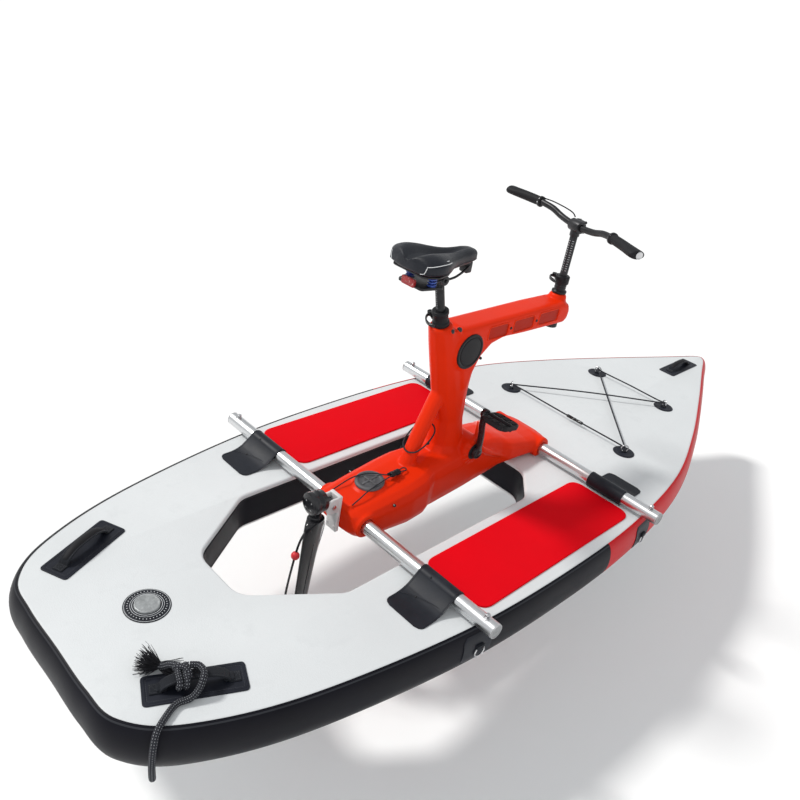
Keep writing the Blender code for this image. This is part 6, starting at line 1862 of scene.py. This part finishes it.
class WaterBikeSettings(bpy.types.PropertyGroup):
    """Sizes and colours of the water bike that a user may change"""

    deck_colour: colour_prop("Deck", "Colour of the board's deck", (0.66, 0.68, 0.69))
    rail_colour: colour_prop("Rail", "Colour of the band round the stern and sides",
                             (0.006, 0.006, 0.01))
    bow_colour: colour_prop("Bow band", "Colour of the band round the bow", (0.56, 0.006, 0.012))
    pad_colour: colour_prop("Foot pads", "Colour of the foam pads", (0.7, 0.002, 0.008))
    frame_colour: colour_prop("Frame", "Colour of the moulded frame", (0.74, 0.026, 0.003))
    fitting_colour: colour_prop("Fittings", "Colour of the dark plastic and metal parts",
                                (0.01, 0.01, 0.012))
    well_edge: length_prop("Well edge", "Radius of the rolled edge of the well", 0.009, 0.001, 0.03)
    shell_voxel: length_prop("Shell detail", "Smallest detail of the moulded shell", 0.0042, 0.003,
                             0.02)
    shell_smoothing: count_prop("Shell softness", "Rounds of smoothing of the moulded shell", 6, 0,
                                30)
    stitch_pitch: length_prop("Stitch pitch", "Distance between stitches", 0.0052, 0.002, 0.02)
    mark_pitch: length_prop("Mark pitch", "Distance between the post's height marks", 0.0075, 0.003,
                            0.03)
    saddle_channel: length_prop("Saddle channel", "Depth of the saddle's middle channel", 0.022, 0,
                                0.03)
    spring_turns: count_prop("Spring turns", "Turns of each saddle spring", 5, 2, 9)
    valve_ticks: count_prop("Valve ticks", "Pale ticks round the valve", 36, 4, 90)
    strand_count: count_prop("Frayed strands", "Loose strands at the rope's tail", 420, 20, 900)
    key_power: number_prop("Key light", "Strength of the key light", 2.35, 0.0, 20.0)
    fill_power: number_prop("Fill light", "Power of the fill light", 25.0, 0.0, 5000.0,
                            unit="POWER")
    air_strength: number_prop("Air light", "Strength of the light all round", 0.64, 0.0, 5.0)
    lens: number_prop("Lens", "Focal length of the camera", 35.38, 10.0, 200.0, unit="CAMERA")


def operator(name, label, note, *steps):
    """An operator class that runs the given making functions."""
    def execute(self, context):
        for step in steps:
            step()
        return {"FINISHED"}
    return type(f"WATERBIKE_OT_{name}", (bpy.types.Operator,), {
        "__doc__": note, "bl_idname": f"waterbike.{name}", "bl_label": label,
        "bl_options": {"REGISTER", "UNDO"}, "execute": execute})


OPERATORS = (
    operator("stage", "Studio", "Makes the floor, the lights and the camera", make_stage),
    operator("rope", "Mooring rope", "Makes the mooring rope with its hitch and frayed tail",
             make_rope),
    operator("cords", "Lift cord", "Makes the lift cord, its stopper and the spare loop",
             make_lift_cord),
    operator("board", "Board", "Makes the board, its bands and their ring patches", make_board,
             make_rails),
    operator("pads", "Foot pads", "Makes the two foam foot pads", make_pads),
    operator("tubes", "Tubes and sleeves", "Makes the cross tubes and the sleeves that hold them",
             make_tubes, make_sleeves),
    operator("handles", "Grab handles", "Makes the three grab handles", make_handles),
    operator("valve", "Valve", "Makes the inflation valve", make_valve),
    operator("bungee", "Bungee", "Makes the ring patches and the elastic cord", make_bungee),
    operator("shell", "Frame", "Makes the moulded frame with its insets and covers", make_shell,
             make_shell_details, make_covers),
    operator("seat", "Seat", "Makes the saddle and the parts that carry it", make_saddle,
             make_seat_post, make_saddle_frame),
    operator("steering", "Steering", "Makes the stem, the bar, the grips and the cable", make_stem,
             make_bar),
    operator("cranks", "Cranks", "Makes the cranks and the pedals", make_cranks),
    operator("leg", "Drive leg", "Makes the drive leg and the propeller", make_pod, make_leg),
)


class WATERBIKE_PT_panel(bpy.types.Panel):
    """The water bike's settings and its making steps"""

    bl_label = "Water Bike"
    bl_space_type = "VIEW_3D"
    bl_region_type = "UI"
    bl_category = "Water Bike"

    def draw(self, context):
        settings = context.scene.water_bike
        for key in WaterBikeSettings.__annotations__:
            self.layout.prop(settings, key)
        for step in OPERATORS:
            self.layout.operator(step.bl_idname)


CLASSES = (WaterBikeSettings, *OPERATORS, WATERBIKE_PT_panel)


def register():
    """Makes the settings, the operators and the panel known."""
    for cls in CLASSES:
        bpy.utils.register_class(cls)
    bpy.types.Scene.water_bike = bpy.props.PointerProperty(type=WaterBikeSettings)


def unregister():
    """Takes them back out."""
    del bpy.types.Scene.water_bike
    for cls in reversed(CLASSES):
        bpy.utils.unregister_class(cls)


def main():
    """Makes every piece in turn and notes the CAD's box and the dressed one."""
    register()
    for step in OPERATORS:
        family, name = step.bl_idname.split(".")
        getattr(getattr(bpy.ops, family), name)()


if __name__ == "__main__":
    main()
